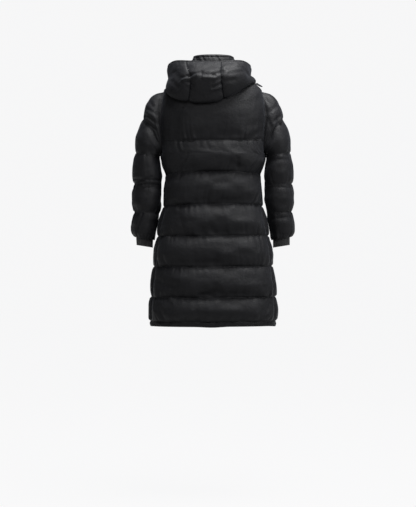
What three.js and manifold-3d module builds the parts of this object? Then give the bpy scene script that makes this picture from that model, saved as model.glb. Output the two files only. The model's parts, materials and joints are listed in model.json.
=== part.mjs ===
// A long hooded puffer coat, closed at the front, in the hollow form that it has when it is worn.
// Millimetres, +Z up. The front faces -Y and the wearer's left is +X.
// The origin is on the neck's axis, at the height of the collar seam at the centre back.
import * as THREE from 'three';
import Module from 'manifold-3d';
import { mergeVertices } from 'three/addons/utils/BufferGeometryUtils.js';

// Driving sizes

const GAP = 0.3; // between two sewn pieces
const SEAM_WALL = 4.5; // wall thickness where outer cloth and inner cloth are stitched together
const BODY_CREST = 28; // wall thickness at the fullest part of a channel, centre back
const SLEEVE_CREST = 15;
const PINCH = 13; // how far from a seam the filling regains most of its height
const ROUNDNESS = 2.4; // exponent of the rings, 2 is an ellipse and more is squarer
const CHANNELS = 7;
const HEM_BAND = 6.82; // the stitch line above the hem band, in channels
const HEM_BAND_PUFF = 4;
const SHOULDER_POINT = 0.45; // where the armhole starts under the shoulder seam, in channels
const ARMPIT = 1.36;
const ARMHOLE_SPREAD = 25; // half the armhole's width, in degrees round the body
const SIDE_SEAM_SHIFT = 18; // the side seam lies this many degrees behind the side at the hem
const ZIP_HALF = 14; // half the width of the zip with its tapes

// The body's inner face, a row for each ring. Channel seams are at the whole numbers.
const BODY = [
  { t: 0, sideX: 84, sideZ: 6, backY: 62, backZ: 0, frontY: -80, frontZ: -50 },
  { t: 0.22, sideX: 134, sideZ: -25, backY: 84, backZ: -44, frontY: -100, frontZ: -84 },
  { t: SHOULDER_POINT, sideX: 184, sideZ: -56, backY: 106, backZ: -106, frontY: -118, frontZ: -130 },
  { t: 0.72, sideX: 208, sideZ: -136, backY: 117, backZ: -178, frontY: -124, frontZ: -190 },
  { t: 1, sideX: 205, sideZ: -245, backY: 120, backZ: -250, frontY: -126, frontZ: -252 },
  { t: 2, sideX: 179, sideZ: -378, backY: 112, backZ: -368, frontY: -124, frontZ: -374 },
  { t: 3, sideX: 186, sideZ: -499, backY: 112, backZ: -491, frontY: -126, frontZ: -495 },
  { t: 4, sideX: 209, sideZ: -613, backY: 121, backZ: -612, frontY: -131, frontZ: -612 },
  { t: 5, sideX: 224, sideZ: -729, backY: 127, backZ: -728, frontY: -135, frontZ: -729 },
  { t: 6, sideX: 236, sideZ: -846, backY: 130, backZ: -845, frontY: -138, frontZ: -846 },
  { t: 7, sideX: 240, sideZ: -958, backY: 131, backZ: -957, frontY: -139, frontZ: -958 },
];

// Rows of the body's mesh down to the armpit, closer together round the armhole's two ends.
const UPPER_ROWS = [0, 0.04, 0.12, 0.24, 0.36];
const ARMHOLE_ROWS = [SHOULDER_POINT, 0.47, 0.52, 0.6, 0.7, 0.8, 0.9, 0.96, 1, 1.04, 1.12, 1.22,
  1.3, 1.345, ARMPIT];
const CHANNEL_STEPS = [0, 0.07, 0.3, 0.65, 0.93];
const BACK_COLUMNS = 18;
const FRONT_COLUMNS = 9;
const INNER_ROWS = [0.12, 0.45, 0.9, 1, 1.36, 2, 3, 4, 5, 6, 6.9];

// The sleeve's rings below the armhole, a row for each channel seam, as centre and half sizes of
// the inner face. slope is how much higher the outer side of the ring is, per mm across.
const SLEEVE = [
  { v: 2, x: 252, y: -4, z: -300, across: 41, deep: 64, slope: 0.22 },
  { v: 3, x: 252, y: -6, z: -414, across: 48, deep: 58, slope: 0.1 },
  { v: 4, x: 257, y: -14, z: -521, across: 43, deep: 54, slope: 0.08 },
  { v: 4.7, x: 266.5, y: -21, z: -594, across: 38, deep: 47, slope: 0.12 },
  { v: 5, x: 266, y: -23, z: -621, across: 34.5, deep: 39.5, slope: 0.16 },
];
const SLEEVE_HEAD = 0.53; // where the first sleeve seam crosses the top of the arm
const SLEEVE_UNDER = 0.05; // and where it runs beside the armhole, under the arm
const SLEEVE_ROWS = [0, 0.1, 0.35, 0.65, 0.92];
// How a line down the sleeve leaves the armhole and arrives at the second seam, in mm of slope.
const HEAD_TOP = { out: 208, down: 45, back: 25 }; // at the shoulder point
const HEAD_SIDE = { out: 120, down: 100 }; // at the front and back of the armhole
const HEAD_ARRIVE = { out: 20, down: 220 };
const UNDERARM = { intoInner: 34, outInner: 8, outOuter: 26, down: 46 };

// The stand collar's top edge, on the inner face.
const COLLAR_TOP = { sideX: 72, sideZ: 81, backY: 55, backZ: 82, frontY: -70, frontZ: 28 };
const COLLAR_PUFF = 6;

// The hood lies on the shoulders as an open pouch. Half sizes of its fullest ring and of its rim,
// and a row for each direction round the neck: 0 is the centre back and + is the wearer's left.
// fold says how far down the yoke the pouch reaches, in channels, and reach how much of the full
// ring is left towards the front ends.
const HOOD_FULLEST = { left: 166, right: 141, back: 180, front: 130 };
const HOOD_RIM = { left: 175, right: 146, back: 124, front: 110 };
const HOOD = [
  { angle: -156, fold: 0.15, fullestZ: -46, rimZ: -18, reach: 0.7 },
  { angle: -120, fold: 0.24, fullestZ: -26, rimZ: 5, reach: 0.92 },
  { angle: -90, fold: 0.24, fullestZ: -2, rimZ: 34, reach: 1 },
  { angle: -65, fold: 0.24, fullestZ: -2, rimZ: 50, reach: 1 },
  { angle: -42, fold: 0.27, fullestZ: -8, rimZ: 52, reach: 1 },
  { angle: -20, fold: 0.34, fullestZ: -16, rimZ: 46, reach: 1 },
  { angle: 0, fold: 0.42, fullestZ: -22, rimZ: 43, reach: 1 },
  { angle: 25, fold: 0.44, fullestZ: -24, rimZ: 46, reach: 1 },
  { angle: 50, fold: 0.41, fullestZ: -16, rimZ: 52, reach: 1 },
  { angle: 72, fold: 0.3, fullestZ: -6, rimZ: 51, reach: 1 },
  { angle: 92, fold: 0.24, fullestZ: -2, rimZ: 36, reach: 1 },
  { angle: 120, fold: 0.24, fullestZ: -26, rimZ: 8, reach: 0.92 },
  { angle: 156, fold: 0.15, fullestZ: -46, rimZ: -18, reach: 0.7 },
];
// The seams between the centre panel and the side ones, in degrees at the rim and at the fold.
const HOOD_SEAM_LEFT = { rim: 31.5, fold: 22.5 };
const HOOD_SEAM_RIGHT = { rim: -8.5, fold: -8.5 };
const HOOD_END = 156;
const HOOD_WALL = 7;
const HOOD_WALL_FLAT = 4.5; // where it lies on the yoke
const HOOD_PUFF = 8;
const HOOD_LIFT = 4; // clearance over the yoke
const HOOD_SEAT = 0.95; // and at the neck seam, where it is sewn on
const HOOD_ROWS = [0, 0.08, 0.17, 0.27, 0.36, 0.44, 0.5, 0.56, 0.64, 0.76, 0.88, 1];
const EDGE_BAND = 9;
const EDGE_SEAM = 1.5; // the binding follows a twisting edge, so its gap is a little wider

const TAB_ANGLE = -80;
const TAB_START = 0.335;
const TAB_END = 0.415;
const TAB_WALL = 2.5;
const TAB_HALF = { root: 9, tip: 5 }; // degrees round the shoulder
const TAB_LIFT = { root: 1.05, tip: 8 };

const ZIP_CLEARANCE = 0.45;
const TAPE = 2.2;
const CHAIN_HALF = 3.2;
const CHAIN_TOP = 4.4;
const SLIDER_PLACE = 0.8; // up the collar, 1 is its top edge
const SLIDER = { width: 10, tall: 14, thick: 2.4 };
const HINGE = { out: 4.6, z: 2 };
const LUG = { x: 3.9, thick: 1.4, rise: 4.8, tall: 4.6 };
const PULL = { barrel: 1.4, neck: 5.8, width: 8, length: 31, thick: 1.4 };

const CUFF_RIBS = 32;
const CUFF_RIB_DEPTH = 1.2;
const CUFF_WALL = 2.2;
const CUFF_LENGTH = 34;
const CUFF_INSIDE = 4; // how far it reaches up inside the sleeve
const CUFF_INSET = 1.7;

// Interpolation

const radians = (degrees) => (degrees * Math.PI) / 180;
const mix = (a, b, k) => a + (b - a) * k;

function smooth(low, high, x) {
  const k = Math.min(1, Math.max(0, (x - low) / (high - low)));
  return k * k * (3 - 2 * k);
}

// A smooth curve through a table's rows: cubic, with each row's slope taken from its neighbours.
function along(table, key, at) {
  const last = table.length - 1;
  const x = Math.min(table[last][key], Math.max(table[0][key], at));
  let i = 0;
  while (i < last - 1 && x > table[i + 1][key]) i += 1;
  const row = {};
  const span = table[i + 1][key] - table[i][key];
  const k = (x - table[i][key]) / span;
  for (const name of Object.keys(table[i])) {
    const slope = (j) => {
      const before = table[Math.max(0, j - 1)];
      const after = table[Math.min(last, j + 1)];
      return (after[name] - before[name]) / (after[key] - before[key]);
    };
    row[name] = hermite(table[i][name], table[i + 1][name], slope(i) * span, slope(i + 1) * span, k);
  }
  return row;
}

function hermite(a, b, slopeA, slopeB, k) {
  const k2 = k * k;
  const k3 = k2 * k;
  return (2 * k3 - 3 * k2 + 1) * a + (k3 - 2 * k2 + k) * slopeA
    + (3 * k2 - 2 * k3) * b + (k3 - k2) * slopeB;
}

function hermitePoint(a, b, slopeA, slopeB, k) {
  return new THREE.Vector3(
    hermite(a.x, b.x, slopeA.x, slopeB.x, k),
    hermite(a.y, b.y, slopeA.y, slopeB.y, k),
    hermite(a.z, b.z, slopeA.z, slopeB.z, k),
  );
}

// A point of a ring round the body, at an angle from the centre back, + towards +X.
function onRing(ring, angle) {
  const across = Math.sin(radians(angle));
  const forward = Math.cos(radians(angle));
  const power = 2 / ROUNDNESS;
  const back = forward > 0;
  const share = Math.abs(forward) ** power;
  return new THREE.Vector3(
    ring.sideX * Math.sign(across) * Math.abs(across) ** power,
    (back ? ring.backY : ring.frontY) * share,
    mix(ring.sideZ, back ? ring.backZ : ring.frontZ, Math.abs(forward) ** 1.5),
  );
}

// The outward direction of a surface given as a function of two parameters.
function facing(surface, a, b, stepA, stepB) {
  const du = surface(a + stepA, b).sub(surface(a - stepA, b));
  const dt = surface(a, b + stepB).sub(surface(a, b - stepB));
  return du.cross(dt).normalize();
}

const moved = (point, direction, distance) => point.clone().addScaledVector(direction, distance);

// Meshes. A loop is a closed list of vertex numbers, each with its place round the loop, 0 to 1.

class Wall {
  constructor() {
    this.points = [];
    this.faces = [];
  }

  add(point) {
    this.points.push(point);
    return this.points.length - 1;
  }

  // A grid of points, rows by columns. Its faces look the way of columns cross rows.
  grid(rows, columns, pointAt, closed = false, inside = false) {
    const ids = rows.map((r) => columns.map((c) => this.add(pointAt(c, r))));
    const wide = columns.length;
    for (let i = 0; i + 1 < rows.length; i += 1) {
      for (let j = 0; j < (closed ? wide : wide - 1); j += 1) {
        const k = (j + 1) % wide;
        const [a, b, c, d] = [ids[i][j], ids[i][k], ids[i + 1][k], ids[i + 1][j]];
        this.face(inside, a, b, d);
        this.face(inside, b, c, d);
      }
    }
    return ids;
  }

  face(inside, a, b, c) {
    this.faces.push(inside ? [a, c, b] : [a, b, c]);
  }

  // The strip between two loops, which may have different numbers of points.
  strip(first, second) {
    let i = 0;
    let j = 0;
    const at = (loop, k) => (k < loop.length ? loop[k].place : 1);
    const id = (loop, k) => loop[k % loop.length].id;
    while (i < first.length || j < second.length) {
      const takeFirst = j >= second.length
        || (i < first.length && at(first, i + 1) <= at(second, j + 1) + 1e-9);
      if (takeFirst) {
        this.faces.push([id(first, i + 1), id(first, i), id(second, j)]);
        i += 1;
      } else {
        this.faces.push([id(first, i), id(second, j), id(second, j + 1)]);
        j += 1;
      }
    }
  }

  geometry() {
    const flat = new Float32Array(this.points.flatMap((p) => [p.x, p.y, p.z]));
    const made = new THREE.BufferGeometry();
    made.setAttribute('position', new THREE.BufferAttribute(flat, 3));
    made.setIndex(this.faces.flat());
    made.computeVertexNormals();
    return made;
  }
}

// The border of a grid, clockwise from its first corner, with its corners at the quarters.
function border(ids, rows, columns) {
  const part = (list, k) => (list[k] - list[0]) / (list[list.length - 1] - list[0]);
  const loop = [];
  const [tall, wide] = [rows.length - 1, columns.length - 1];
  for (let j = 0; j < wide; j += 1) loop.push([ids[0][j], part(columns, j)]);
  for (let i = 0; i < tall; i += 1) loop.push([ids[i][wide], 1 + part(rows, i)]);
  for (let j = wide; j > 0; j -= 1) loop.push([ids[tall][j], 3 - part(columns, j)]);
  for (let i = tall; i > 0; i -= 1) loop.push([ids[i][0], 4 - part(rows, i)]);
  return loop.map(([id, place]) => ({ id, place: place / 4 }));
}

// A panel with free edges: fine outer face, plain coarse inner face, and the edge between them.
function panel({ rows, columns, outer, inner, innerRows, innerColumns }) {
  const wall = new Wall();
  const outerLoop = border(wall.grid(rows, columns, outer), rows, columns);
  const [tall, wide] = [rows.length - 1, columns.length - 1];
  const turn = [];
  for (let j = 0; j < wide; j += 1) turn.push([0, j]);
  for (let i = 0; i < tall; i += 1) turn.push([i, wide]);
  for (let j = wide; j > 0; j -= 1) turn.push([tall, j]);
  for (let i = tall; i > 0; i -= 1) turn.push([i, 0]);
  const edgeLoop = turn.map(([i, j], k) => ({
    id: wall.add(inner(columns[j], rows[i])),
    place: outerLoop[k].place,
  }));
  wall.strip(outerLoop, edgeLoop);
  const coarse = wall.grid(innerRows, innerColumns, inner, false, true);
  wall.strip(edgeLoop, border(coarse, innerRows, innerColumns));
  return wall.geometry();
}

// A sleeve or cuff: as a panel, but closed round, with an edge at each end.
function tube({ rows, columns, outer, inner, innerRows, every }) {
  const wall = new Wall();
  const fine = wall.grid(rows, columns, outer, true);
  const ring = (ids) => ids.map((id, k) => ({ id, place: k / columns.length }));
  const few = columns.filter((_, k) => k % every === 0);
  const fewPlaces = columns.map((_, k) => k / columns.length).filter((_, k) => k % every === 0);
  const coarse = wall.grid(innerRows, few, inner, true, true);
  const turned = (loop) => [loop[0], ...loop.slice(1).reverse()]
    .map((p) => ({ id: p.id, place: p.place === 0 ? 0 : 1 - p.place }));
  const ends = [
    { row: rows[0], ids: fine[0], near: coarse[0], flip: (loop) => loop },
    { row: rows.at(-1), ids: fine.at(-1), near: coarse.at(-1), flip: turned },
  ];
  for (const end of ends) {
    const edge = columns.map((c) => wall.add(inner(c, end.row)));
    const coarseLoop = end.near.map((id, k) => ({ id, place: fewPlaces[k] }));
    wall.strip(end.flip(ring(end.ids)), end.flip(ring(edge)));
    wall.strip(end.flip(ring(edge)), end.flip(coarseLoop));
  }
  return wall.geometry();
}

// A bar of one section carried along stations, closed by a fan at each end.
function bar(stations) {
  const wall = new Wall();
  const count = stations[0].length;
  const ids = stations.map((points) => points.map((p) => wall.add(p)));
  for (let i = 0; i + 1 < ids.length; i += 1) {
    for (let j = 0; j < count; j += 1) {
      const k = (j + 1) % count;
      wall.face(false, ids[i][j], ids[i][k], ids[i + 1][j]);
      wall.face(false, ids[i][k], ids[i + 1][k], ids[i + 1][j]);
    }
  }
  for (const [end, flip] of [[0, true], [ids.length - 1, false]]) {
    const middle = stations[end].reduce((sum, p) => sum.add(p), new THREE.Vector3());
    const centre = wall.add(middle.divideScalar(count));
    for (let j = 0; j < count; j += 1) {
      wall.face(flip, ids[end][j], ids[end][(j + 1) % count], centre);
    }
  }
  return wall.geometry();
}

function steps(from, to, count) {
  return Array.from({ length: count + 1 }, (_, k) => mix(from, to, k / count));
}

// Body panels

function bodyRows() {
  const lower = [];
  for (let channel = 1; channel < CHANNELS; channel += 1) {
    const end = channel === CHANNELS - 1 ? HEM_BAND : channel + 1;
    for (const step of CHANNEL_STEPS) lower.push(mix(channel, end, step));
  }
  lower.push(HEM_BAND, mix(HEM_BAND, CHANNELS, 0.5), CHANNELS);
  return [...UPPER_ROWS, ...ARMHOLE_ROWS, mix(ARMPIT, 1.65, 0.5), ...lower.filter((t) => t > 1.5)];
}

function bodyInner(angle, t) {
  return onRing(along(BODY, 't', t), angle);
}

// The angle of the side edge of the back panel (side -1) or of the front panels (side +1).
function sideEdge(t, side) {
  if (t <= SHOULDER_POINT) return 90;
  if (t >= ARMPIT) return 90 - SIDE_SEAM_SHIFT * smooth(ARMPIT, ARMPIT + 2, t);
  const s = (t - SHOULDER_POINT) / (ARMPIT - SHOULDER_POINT);
  return 90 + side * ARMHOLE_SPREAD * Math.sqrt(4 * s * (1 - s));
}

function zipEdge(t) {
  const ring = along(BODY, 't', t);
  const share = (ZIP_HALF / ring.sideX) ** (ROUNDNESS / 2);
  return 180 - (Math.asin(share) * 180) / Math.PI;
}

// The filling's height over one channel: steep at the stitches and fullest below the middle.
function channelPuff(t) {
  if (t > HEM_BAND) {
    const across = (t - HEM_BAND) / (CHANNELS - HEM_BAND);
    return (HEM_BAND_PUFF / (BODY_CREST - SEAM_WALL)) * Math.sqrt(Math.sin(Math.PI * across) + 1e-9);
  }
  const channel = Math.min(CHANNELS - 1, Math.floor(t + 1e-9));
  const end = channel === CHANNELS - 1 ? HEM_BAND : channel + 1;
  const across = Math.min(1, Math.max(0, (t - channel) / (end - channel)));
  return Math.max(0, Math.sin(Math.PI * across ** 1.12)) ** 0.6;
}

// Channels are fullest at the centre back and front and flatter under the arms.
const roundPuff = (angle) => 0.36 + 0.64 * Math.abs(Math.cos(radians(angle)));

function bodyFacing(angle, t) {
  return facing(bodyInner, angle, Math.min(CHANNELS - 0.02, Math.max(0.02, t)), 0.5, 0.02);
}

function bodyThickness(angle, t, fromEdge) {
  const filled = (BODY_CREST - SEAM_WALL) * channelPuff(t) * roundPuff(angle);
  return SEAM_WALL + filled * (1 - Math.exp(-fromEdge / PINCH));
}

// How far a point is from the nearer side edge of its panel, round the ring.
function fromEdges(angle, t, low, high) {
  const here = bodyInner(angle, t);
  return Math.min(here.distanceTo(bodyInner(low, t)), here.distanceTo(bodyInner(high, t)));
}

function seamShift(t) {
  const ring = along(BODY, 't', t);
  return ((GAP * 0.8) / ring.backY) * (180 / Math.PI);
}

function bodyPanel(lowEdge, highEdge, columns) {
  const rows = bodyRows();
  const angleAt = (c, t) => mix(lowEdge(t) + seamShift(t), highEdge(t) - seamShift(t), c);
  const inner = (c, t) => bodyInner(angleAt(c, t), t);
  const outer = (c, t) => {
    const angle = angleAt(c, t);
    const fromEdge = fromEdges(angle, t, lowEdge(t), highEdge(t));
    return moved(inner(c, t), bodyFacing(angle, t), bodyThickness(angle, t, fromEdge));
  };
  return panel({
    rows,
    columns: steps(0, 1, columns),
    outer,
    inner,
    innerRows: INNER_ROWS,
    innerColumns: steps(0.08, 0.92, Math.ceil(columns / 3)),
  });
}

const backPanel = () => bodyPanel((t) => -sideEdge(t, -1), (t) => sideEdge(t, -1), BACK_COLUMNS);
const leftFront = () => bodyPanel((t) => sideEdge(t, 1), zipEdge, FRONT_COLUMNS);
const rightFront = () => bodyPanel((t) => -zipEdge(t), (t) => -sideEdge(t, 1), FRONT_COLUMNS);

// Sleeves

// The armhole's edge, and the directions out of the body and into the opening, for a turn round
// the armhole: 0 is the shoulder point, + is the back edge and 180 is the armpit.
function armhole(turn) {
  const s = (1 - Math.cos(radians(turn))) / 2;
  const t = mix(SHOULDER_POINT, ARMPIT, s);
  const angle = 90 - ARMHOLE_SPREAD * Math.sin(radians(turn));
  const centre = bodyInner(90, mix(SHOULDER_POINT, ARMPIT, 0.5));
  const edge = bodyInner(angle, t);
  const out = bodyFacing(angle, t);
  const into = centre.sub(edge);
  into.addScaledVector(out, -into.dot(out)).normalize();
  return { point: moved(edge, into, GAP * 2), out, into };
}

function sleeveTurns() {
  const back = ARMHOLE_ROWS.map((t) => {
    const s = (t - SHOULDER_POINT) / (ARMPIT - SHOULDER_POINT);
    return (Math.acos(1 - 2 * s) * 180) / Math.PI;
  });
  const front = back.slice(1, -1).map((turn) => 360 - turn).reverse();
  return [...back, ...front];
}

// A ring of the lower sleeve. Turn 0 is the outer side and 180 is the side next to the body.
function sleeveRing(turn, v, extra) {
  const ring = along(SLEEVE, 'v', v);
  const across = (ring.across + extra) * Math.cos(radians(turn));
  const deep = (ring.deep + extra) * Math.sin(radians(turn));
  return new THREE.Vector3(ring.x + across, ring.y + deep, ring.z + ring.slope * across);
}

// Where the first seam of the sleeve lies between the armhole, 0, and the second seam, 1.
function headSeam(turn) {
  const under = smooth(40, 125, Math.min(turn, 360 - turn));
  return mix(SLEEVE_HEAD, SLEEVE_UNDER, under);
}

function sleevePath(turn, v, outside) {
  if (v >= 2) return sleeveRing(turn, v, outside ? SEAM_WALL : 0);
  const seam = headSeam(turn);
  const k = v < 1 ? seam * v : mix(seam, 1, v - 1);
  const start = armhole(turn);
  const under = smooth(85, 165, Math.min(turn, 360 - turn));
  const from = outside ? moved(start.point, start.out, SEAM_WALL) : start.point;
  const to = sleeveRing(turn, 2, outside ? SEAM_WALL : 0);
  const beside = smooth(0, 90, Math.min(turn, 360 - turn));
  const behind = Math.sin(radians(turn));
  const leave = new THREE.Vector3(
    mix(HEAD_TOP.out, HEAD_SIDE.out, beside),
    HEAD_TOP.back * behind,
    -mix(HEAD_TOP.down, HEAD_SIDE.down, beside),
  );
  leave.multiplyScalar(1 - under);
  leave.addScaledVector(start.into, outside ? 0 : UNDERARM.intoInner * under);
  leave.addScaledVector(start.out, (outside ? UNDERARM.outOuter : UNDERARM.outInner) * under);
  const down = mix(HEAD_ARRIVE.down, UNDERARM.down, under);
  const arrive = new THREE.Vector3(HEAD_ARRIVE.out * (1 - under), 0, -down);
  return hermitePoint(from, to, leave, arrive, k);
}

function sleevePuff(turn, v) {
  const channel = Math.min(4, Math.floor(v + 1e-9));
  const across = Math.min(1, v - channel);
  const around = Math.min(turn, 360 - turn);
  const nextToBody = 0.25 + 0.75 * (1 - smooth(100, 165, around));
  const atHead = v < 1 ? (1 - smooth(70, 118, around)) * smooth(-0.15, 0.45, v) : 1;
  const atArmpit = v < 2 ? 1 - 0.9 * smooth(120, 165, around) * (1 - smooth(1.2, 2, v)) : 1;
  const round = Math.max(0, Math.sin(Math.PI * across ** 1.1)) ** 0.65;
  return round * nextToBody * atHead * atArmpit;
}

function sleeveOuter(turn, v) {
  const path = (a, b) => sleevePath(a, b, true);
  const base = path(turn, v);
  const filled = (SLEEVE_CREST - SEAM_WALL) * sleevePuff(turn, v);
  if (filled < 0.01) return base;
  const out = facing(path, turn, Math.min(4.98, Math.max(0.02, v)), 2, 0.02);
  return moved(base, out.negate(), filled);
}

function sleeveRows() {
  const rows = [];
  for (let channel = 0; channel < 5; channel += 1) {
    for (const step of SLEEVE_ROWS) rows.push(channel + step);
  }
  return [...rows, 5];
}

function mirrored(geometry) {
  const turned = geometry.clone();
  turned.scale(-1, 1, 1);
  const order = turned.index.array;
  for (let k = 0; k < order.length; k += 3) {
    [order[k + 1], order[k + 2]] = [order[k + 2], order[k + 1]];
  }
  turned.computeVertexNormals();
  return turned;
}

function sleeve() {
  return tube({
    rows: sleeveRows().reverse(),
    columns: sleeveTurns(),
    outer: sleeveOuter,
    inner: (turn, v) => sleevePath(turn, v, false),
    innerRows: [4.9, 4.5, 4, 3, 2, 1.6, 1.25, 1, 0.4],
    every: 2,
  });
}

// The knitted cuff inside the sleeve's hem: a tube with ribs along it.
function cuff() {
  const end = SLEEVE.at(-1);
  const ring = (turn, drop, inset) => {
    const across = (end.across - inset) * Math.cos(radians(turn));
    const deep = (end.deep - inset) * Math.sin(radians(turn));
    return new THREE.Vector3(end.x + across, end.y + deep, end.z + end.slope * across - drop);
  };
  const columns = steps(0, 360, CUFF_RIBS * 2).slice(0, -1);
  const taper = (drop) => CUFF_INSET + 0.8 * smooth(0, CUFF_LENGTH, drop);
  const rib = (turn) => CUFF_RIB_DEPTH * (Math.round((turn * CUFF_RIBS) / 180) % 2);
  const drops = [-CUFF_INSIDE, CUFF_LENGTH * 0.4, CUFF_LENGTH - CUFF_INSIDE];
  return tube({
    rows: drops.slice().reverse(),
    columns,
    outer: (turn, drop) => ring(turn, drop, taper(drop) + rib(turn)),
    inner: (turn, drop) => ring(turn, drop, taper(drop) + CUFF_RIB_DEPTH + CUFF_WALL),
    innerRows: [CUFF_LENGTH - CUFF_INSIDE - 2, 2 - CUFF_INSIDE],
    every: 4,
  });
}

// Stand collar

function collarInner(angle, w) {
  const low = bodyInner(angle, 0);
  low.addScaledVector(new THREE.Vector3(0, 0, 1), GAP * 3);
  const high = onRing(COLLAR_TOP, angle);
  const point = low.lerp(high, w);
  const bow = 3 * Math.sin(Math.PI * w);
  point.x *= 1 + bow / COLLAR_TOP.sideX;
  point.y *= 1 + bow / Math.abs(COLLAR_TOP.frontY);
  return point;
}

function collarFacing(angle, w) {
  const own = facing(collarInner, angle, Math.min(0.97, Math.max(0.03, w)), 0.5, 0.02).negate();
  return own.lerp(bodyFacing(angle, 0), 1 - smooth(0, 0.22, w)).normalize();
}

function collar() {
  const edge = zipEdge(0) - seamShift(0);
  const angleAt = (c) => mix(-edge, edge, c);
  const inner = (c, w) => collarInner(angleAt(c), w);
  const outer = (c, w) => {
    const angle = angleAt(c);
    const ends = Math.min(1, (edge - Math.abs(angle)) / 12);
    const filled = COLLAR_PUFF * Math.sqrt(Math.sin(Math.PI * w) + 1e-9) * smooth(-0.2, 1, ends);
    return moved(inner(c, w), collarFacing(angle, w), SEAM_WALL + filled);
  };
  return panel({
    rows: [1, 0.93, 0.7, 0.45, 0.2, 0.07, 0],
    columns: neckColumns(edge).map((angle) => (angle + edge) / (2 * edge)),
    outer,
    inner,
    innerRows: [0.9, 0.5, 0.1],
    innerColumns: steps(0.04, 0.96, 12),
  });
}

// The collar's bottom edge has a point at every point of the panels' neck edge, so that the gap
// between them stays even.
function neckColumns(edge) {
  const shift = seamShift(0);
  const back = steps(-90 + shift, 90 - shift, BACK_COLUMNS);
  const front = steps(90 + shift, edge, FRONT_COLUMNS);
  return [...front.map((a) => -a).reverse(), ...back, ...front];
}

// Hood

function ringSizes(ring, angle) {
  return { sideX: angle > 0 ? ring.left : ring.right, backY: ring.back, frontY: -ring.front };
}

function hoodRing(ring, angle, height, reach) {
  const full = onRing({ ...ringSizes(ring, angle), sideZ: 0, backZ: 0, frontZ: 0 }, angle);
  const neck = onRing(BODY[0], angle);
  const point = neck.lerp(full, reach);
  point.z = height;
  return point;
}

// The yoke's outer face, without its pinched seams, moved out.
function overYoke(angle, t, lift) {
  const thick = bodyThickness(angle, t, 4 * PINCH);
  return moved(bodyInner(angle, t), bodyFacing(angle, t), thick + lift);
}

// The hood's outer face from its rim, row 0, down to the fold at the bottom and back up along the
// yoke to the neck seam, row 1.
function hoodFace(angle, row) {
  const hang = along(HOOD, 'angle', angle);
  const start = UPPER_ROWS[1];
  if (row > 0.6) {
    const k = (row - 0.6) / 0.4;
    return overYoke(angle, mix(hang.fold, start, k), mix(HOOD_LIFT, HOOD_SEAT, smooth(0.7, 1, k)));
  }
  const rim = hoodRing(HOOD_RIM, angle, hang.rimZ, hang.reach);
  const fullest = hoodRing(HOOD_FULLEST, angle, hang.fullestZ, hang.reach);
  const under = overYoke(angle, hang.fold, HOOD_LIFT);
  const roll = mix(5, 16, hang.reach * hang.fold * 2);
  const bottom = overYoke(angle, hang.fold + 0.05, roll);
  const path = new THREE.CatmullRomCurve3([rim, fullest, bottom, under], false, 'centripetal');
  return path.getPoint(row / 0.6);
}

function hoodFacing(angle, row) {
  return facing(hoodFace, angle, Math.min(0.985, Math.max(0.015, row)), 1, 0.012);
}

function hoodPuff(row, fromEdge) {
  const alongRow = Math.sin(Math.PI * Math.min(1, row / 0.58)) ** 0.5;
  return row < 0.58 ? HOOD_PUFF * alongRow * (1 - Math.exp(-fromEdge / PINCH)) : 0;
}

function hoodPanel(low, high, columns) {
  const angleAt = (c, row) => mix(low(row), high(row), c);
  const inner = (c, row) => {
    const angle = angleAt(c, row);
    const wall = mix(HOOD_WALL, HOOD_WALL_FLAT, smooth(0.5, 1, row));
    return moved(hoodFace(angle, row), hoodFacing(angle, row), -wall);
  };
  const outer = (c, row) => {
    const angle = angleAt(c, row);
    const face = hoodFace(angle, row);
    const span = (edge) => face.distanceTo(hoodFace(edge(row), row));
    const fromEdge = Math.min(span(low), span(high));
    return moved(face, hoodFacing(angle, row), hoodPuff(row, fromEdge));
  };
  return panel({
    rows: HOOD_ROWS,
    columns: steps(0, 1, columns),
    outer,
    inner,
    innerRows: [0.05, 0.17, 0.36, 0.46, 0.54, 0.62, 0.8, 0.95],
    innerColumns: steps(0.06, 0.94, Math.ceil(columns / 2)),
  });
}

const hoodGap = GAP / 2 / 0.85; // half the gap at a hood seam, in degrees near the rim

// A hood seam's angle at a row; it runs across the rings between the rim and the fold.
function hoodSeam(seam, side) {
  return (row) => mix(seam.rim, seam.fold, smooth(0.02, 0.38, row)) + side * hoodGap;
}

function hoodColumns() {
  return [
    { low: () => -HOOD_END, high: hoodSeam(HOOD_SEAM_RIGHT, -1), columns: 14, name: 'hood_right' },
    {
      low: hoodSeam(HOOD_SEAM_RIGHT, 1),
      high: hoodSeam(HOOD_SEAM_LEFT, -1),
      columns: 6,
      name: 'hood_centre',
    },
    { low: hoodSeam(HOOD_SEAM_LEFT, 1), high: () => HOOD_END, columns: 14, name: 'hood_left' },
  ];
}

// The band that binds the hood's rim, one piece from end to end.
function hoodEdge() {
  const angles = hoodColumns().flatMap((part) => steps(part.low(0), part.high(0), part.columns));
  const stations = angles.map((angle) => {
    const face = hoodFace(angle, 0);
    const out = hoodFacing(angle, 0);
    const up = face.clone().sub(hoodFace(angle, 0.02)).normalize();
    const at = (depth, rise) => moved(moved(face, out, depth), up, rise);
    return [
      at(0, EDGE_SEAM),
      at(0, EDGE_BAND * 0.7),
      at(-HOOD_WALL * 0.5, EDGE_BAND),
      at(-HOOD_WALL, EDGE_BAND * 0.7),
      at(-HOOD_WALL, EDGE_SEAM),
    ];
  });
  return bar(stations);
}

// A small cloth tab that lies on the right shoulder, from under the hood.
function shoulderTab() {
  const stations = steps(0, 1, 5).map((k) => {
    const t = mix(TAB_START, TAB_END, k);
    const half = mix(TAB_HALF.root, TAB_HALF.tip, k);
    const lift = mix(TAB_LIFT.root, TAB_LIFT.tip, k * k);
    const low = (side) => overYoke(TAB_ANGLE + side * half, t, lift);
    const high = (side) => overYoke(TAB_ANGLE + side * half, t, lift + TAB_WALL);
    return [low(-1), high(-1), high(1), low(1)];
  });
  return bar(stations);
}

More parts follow.
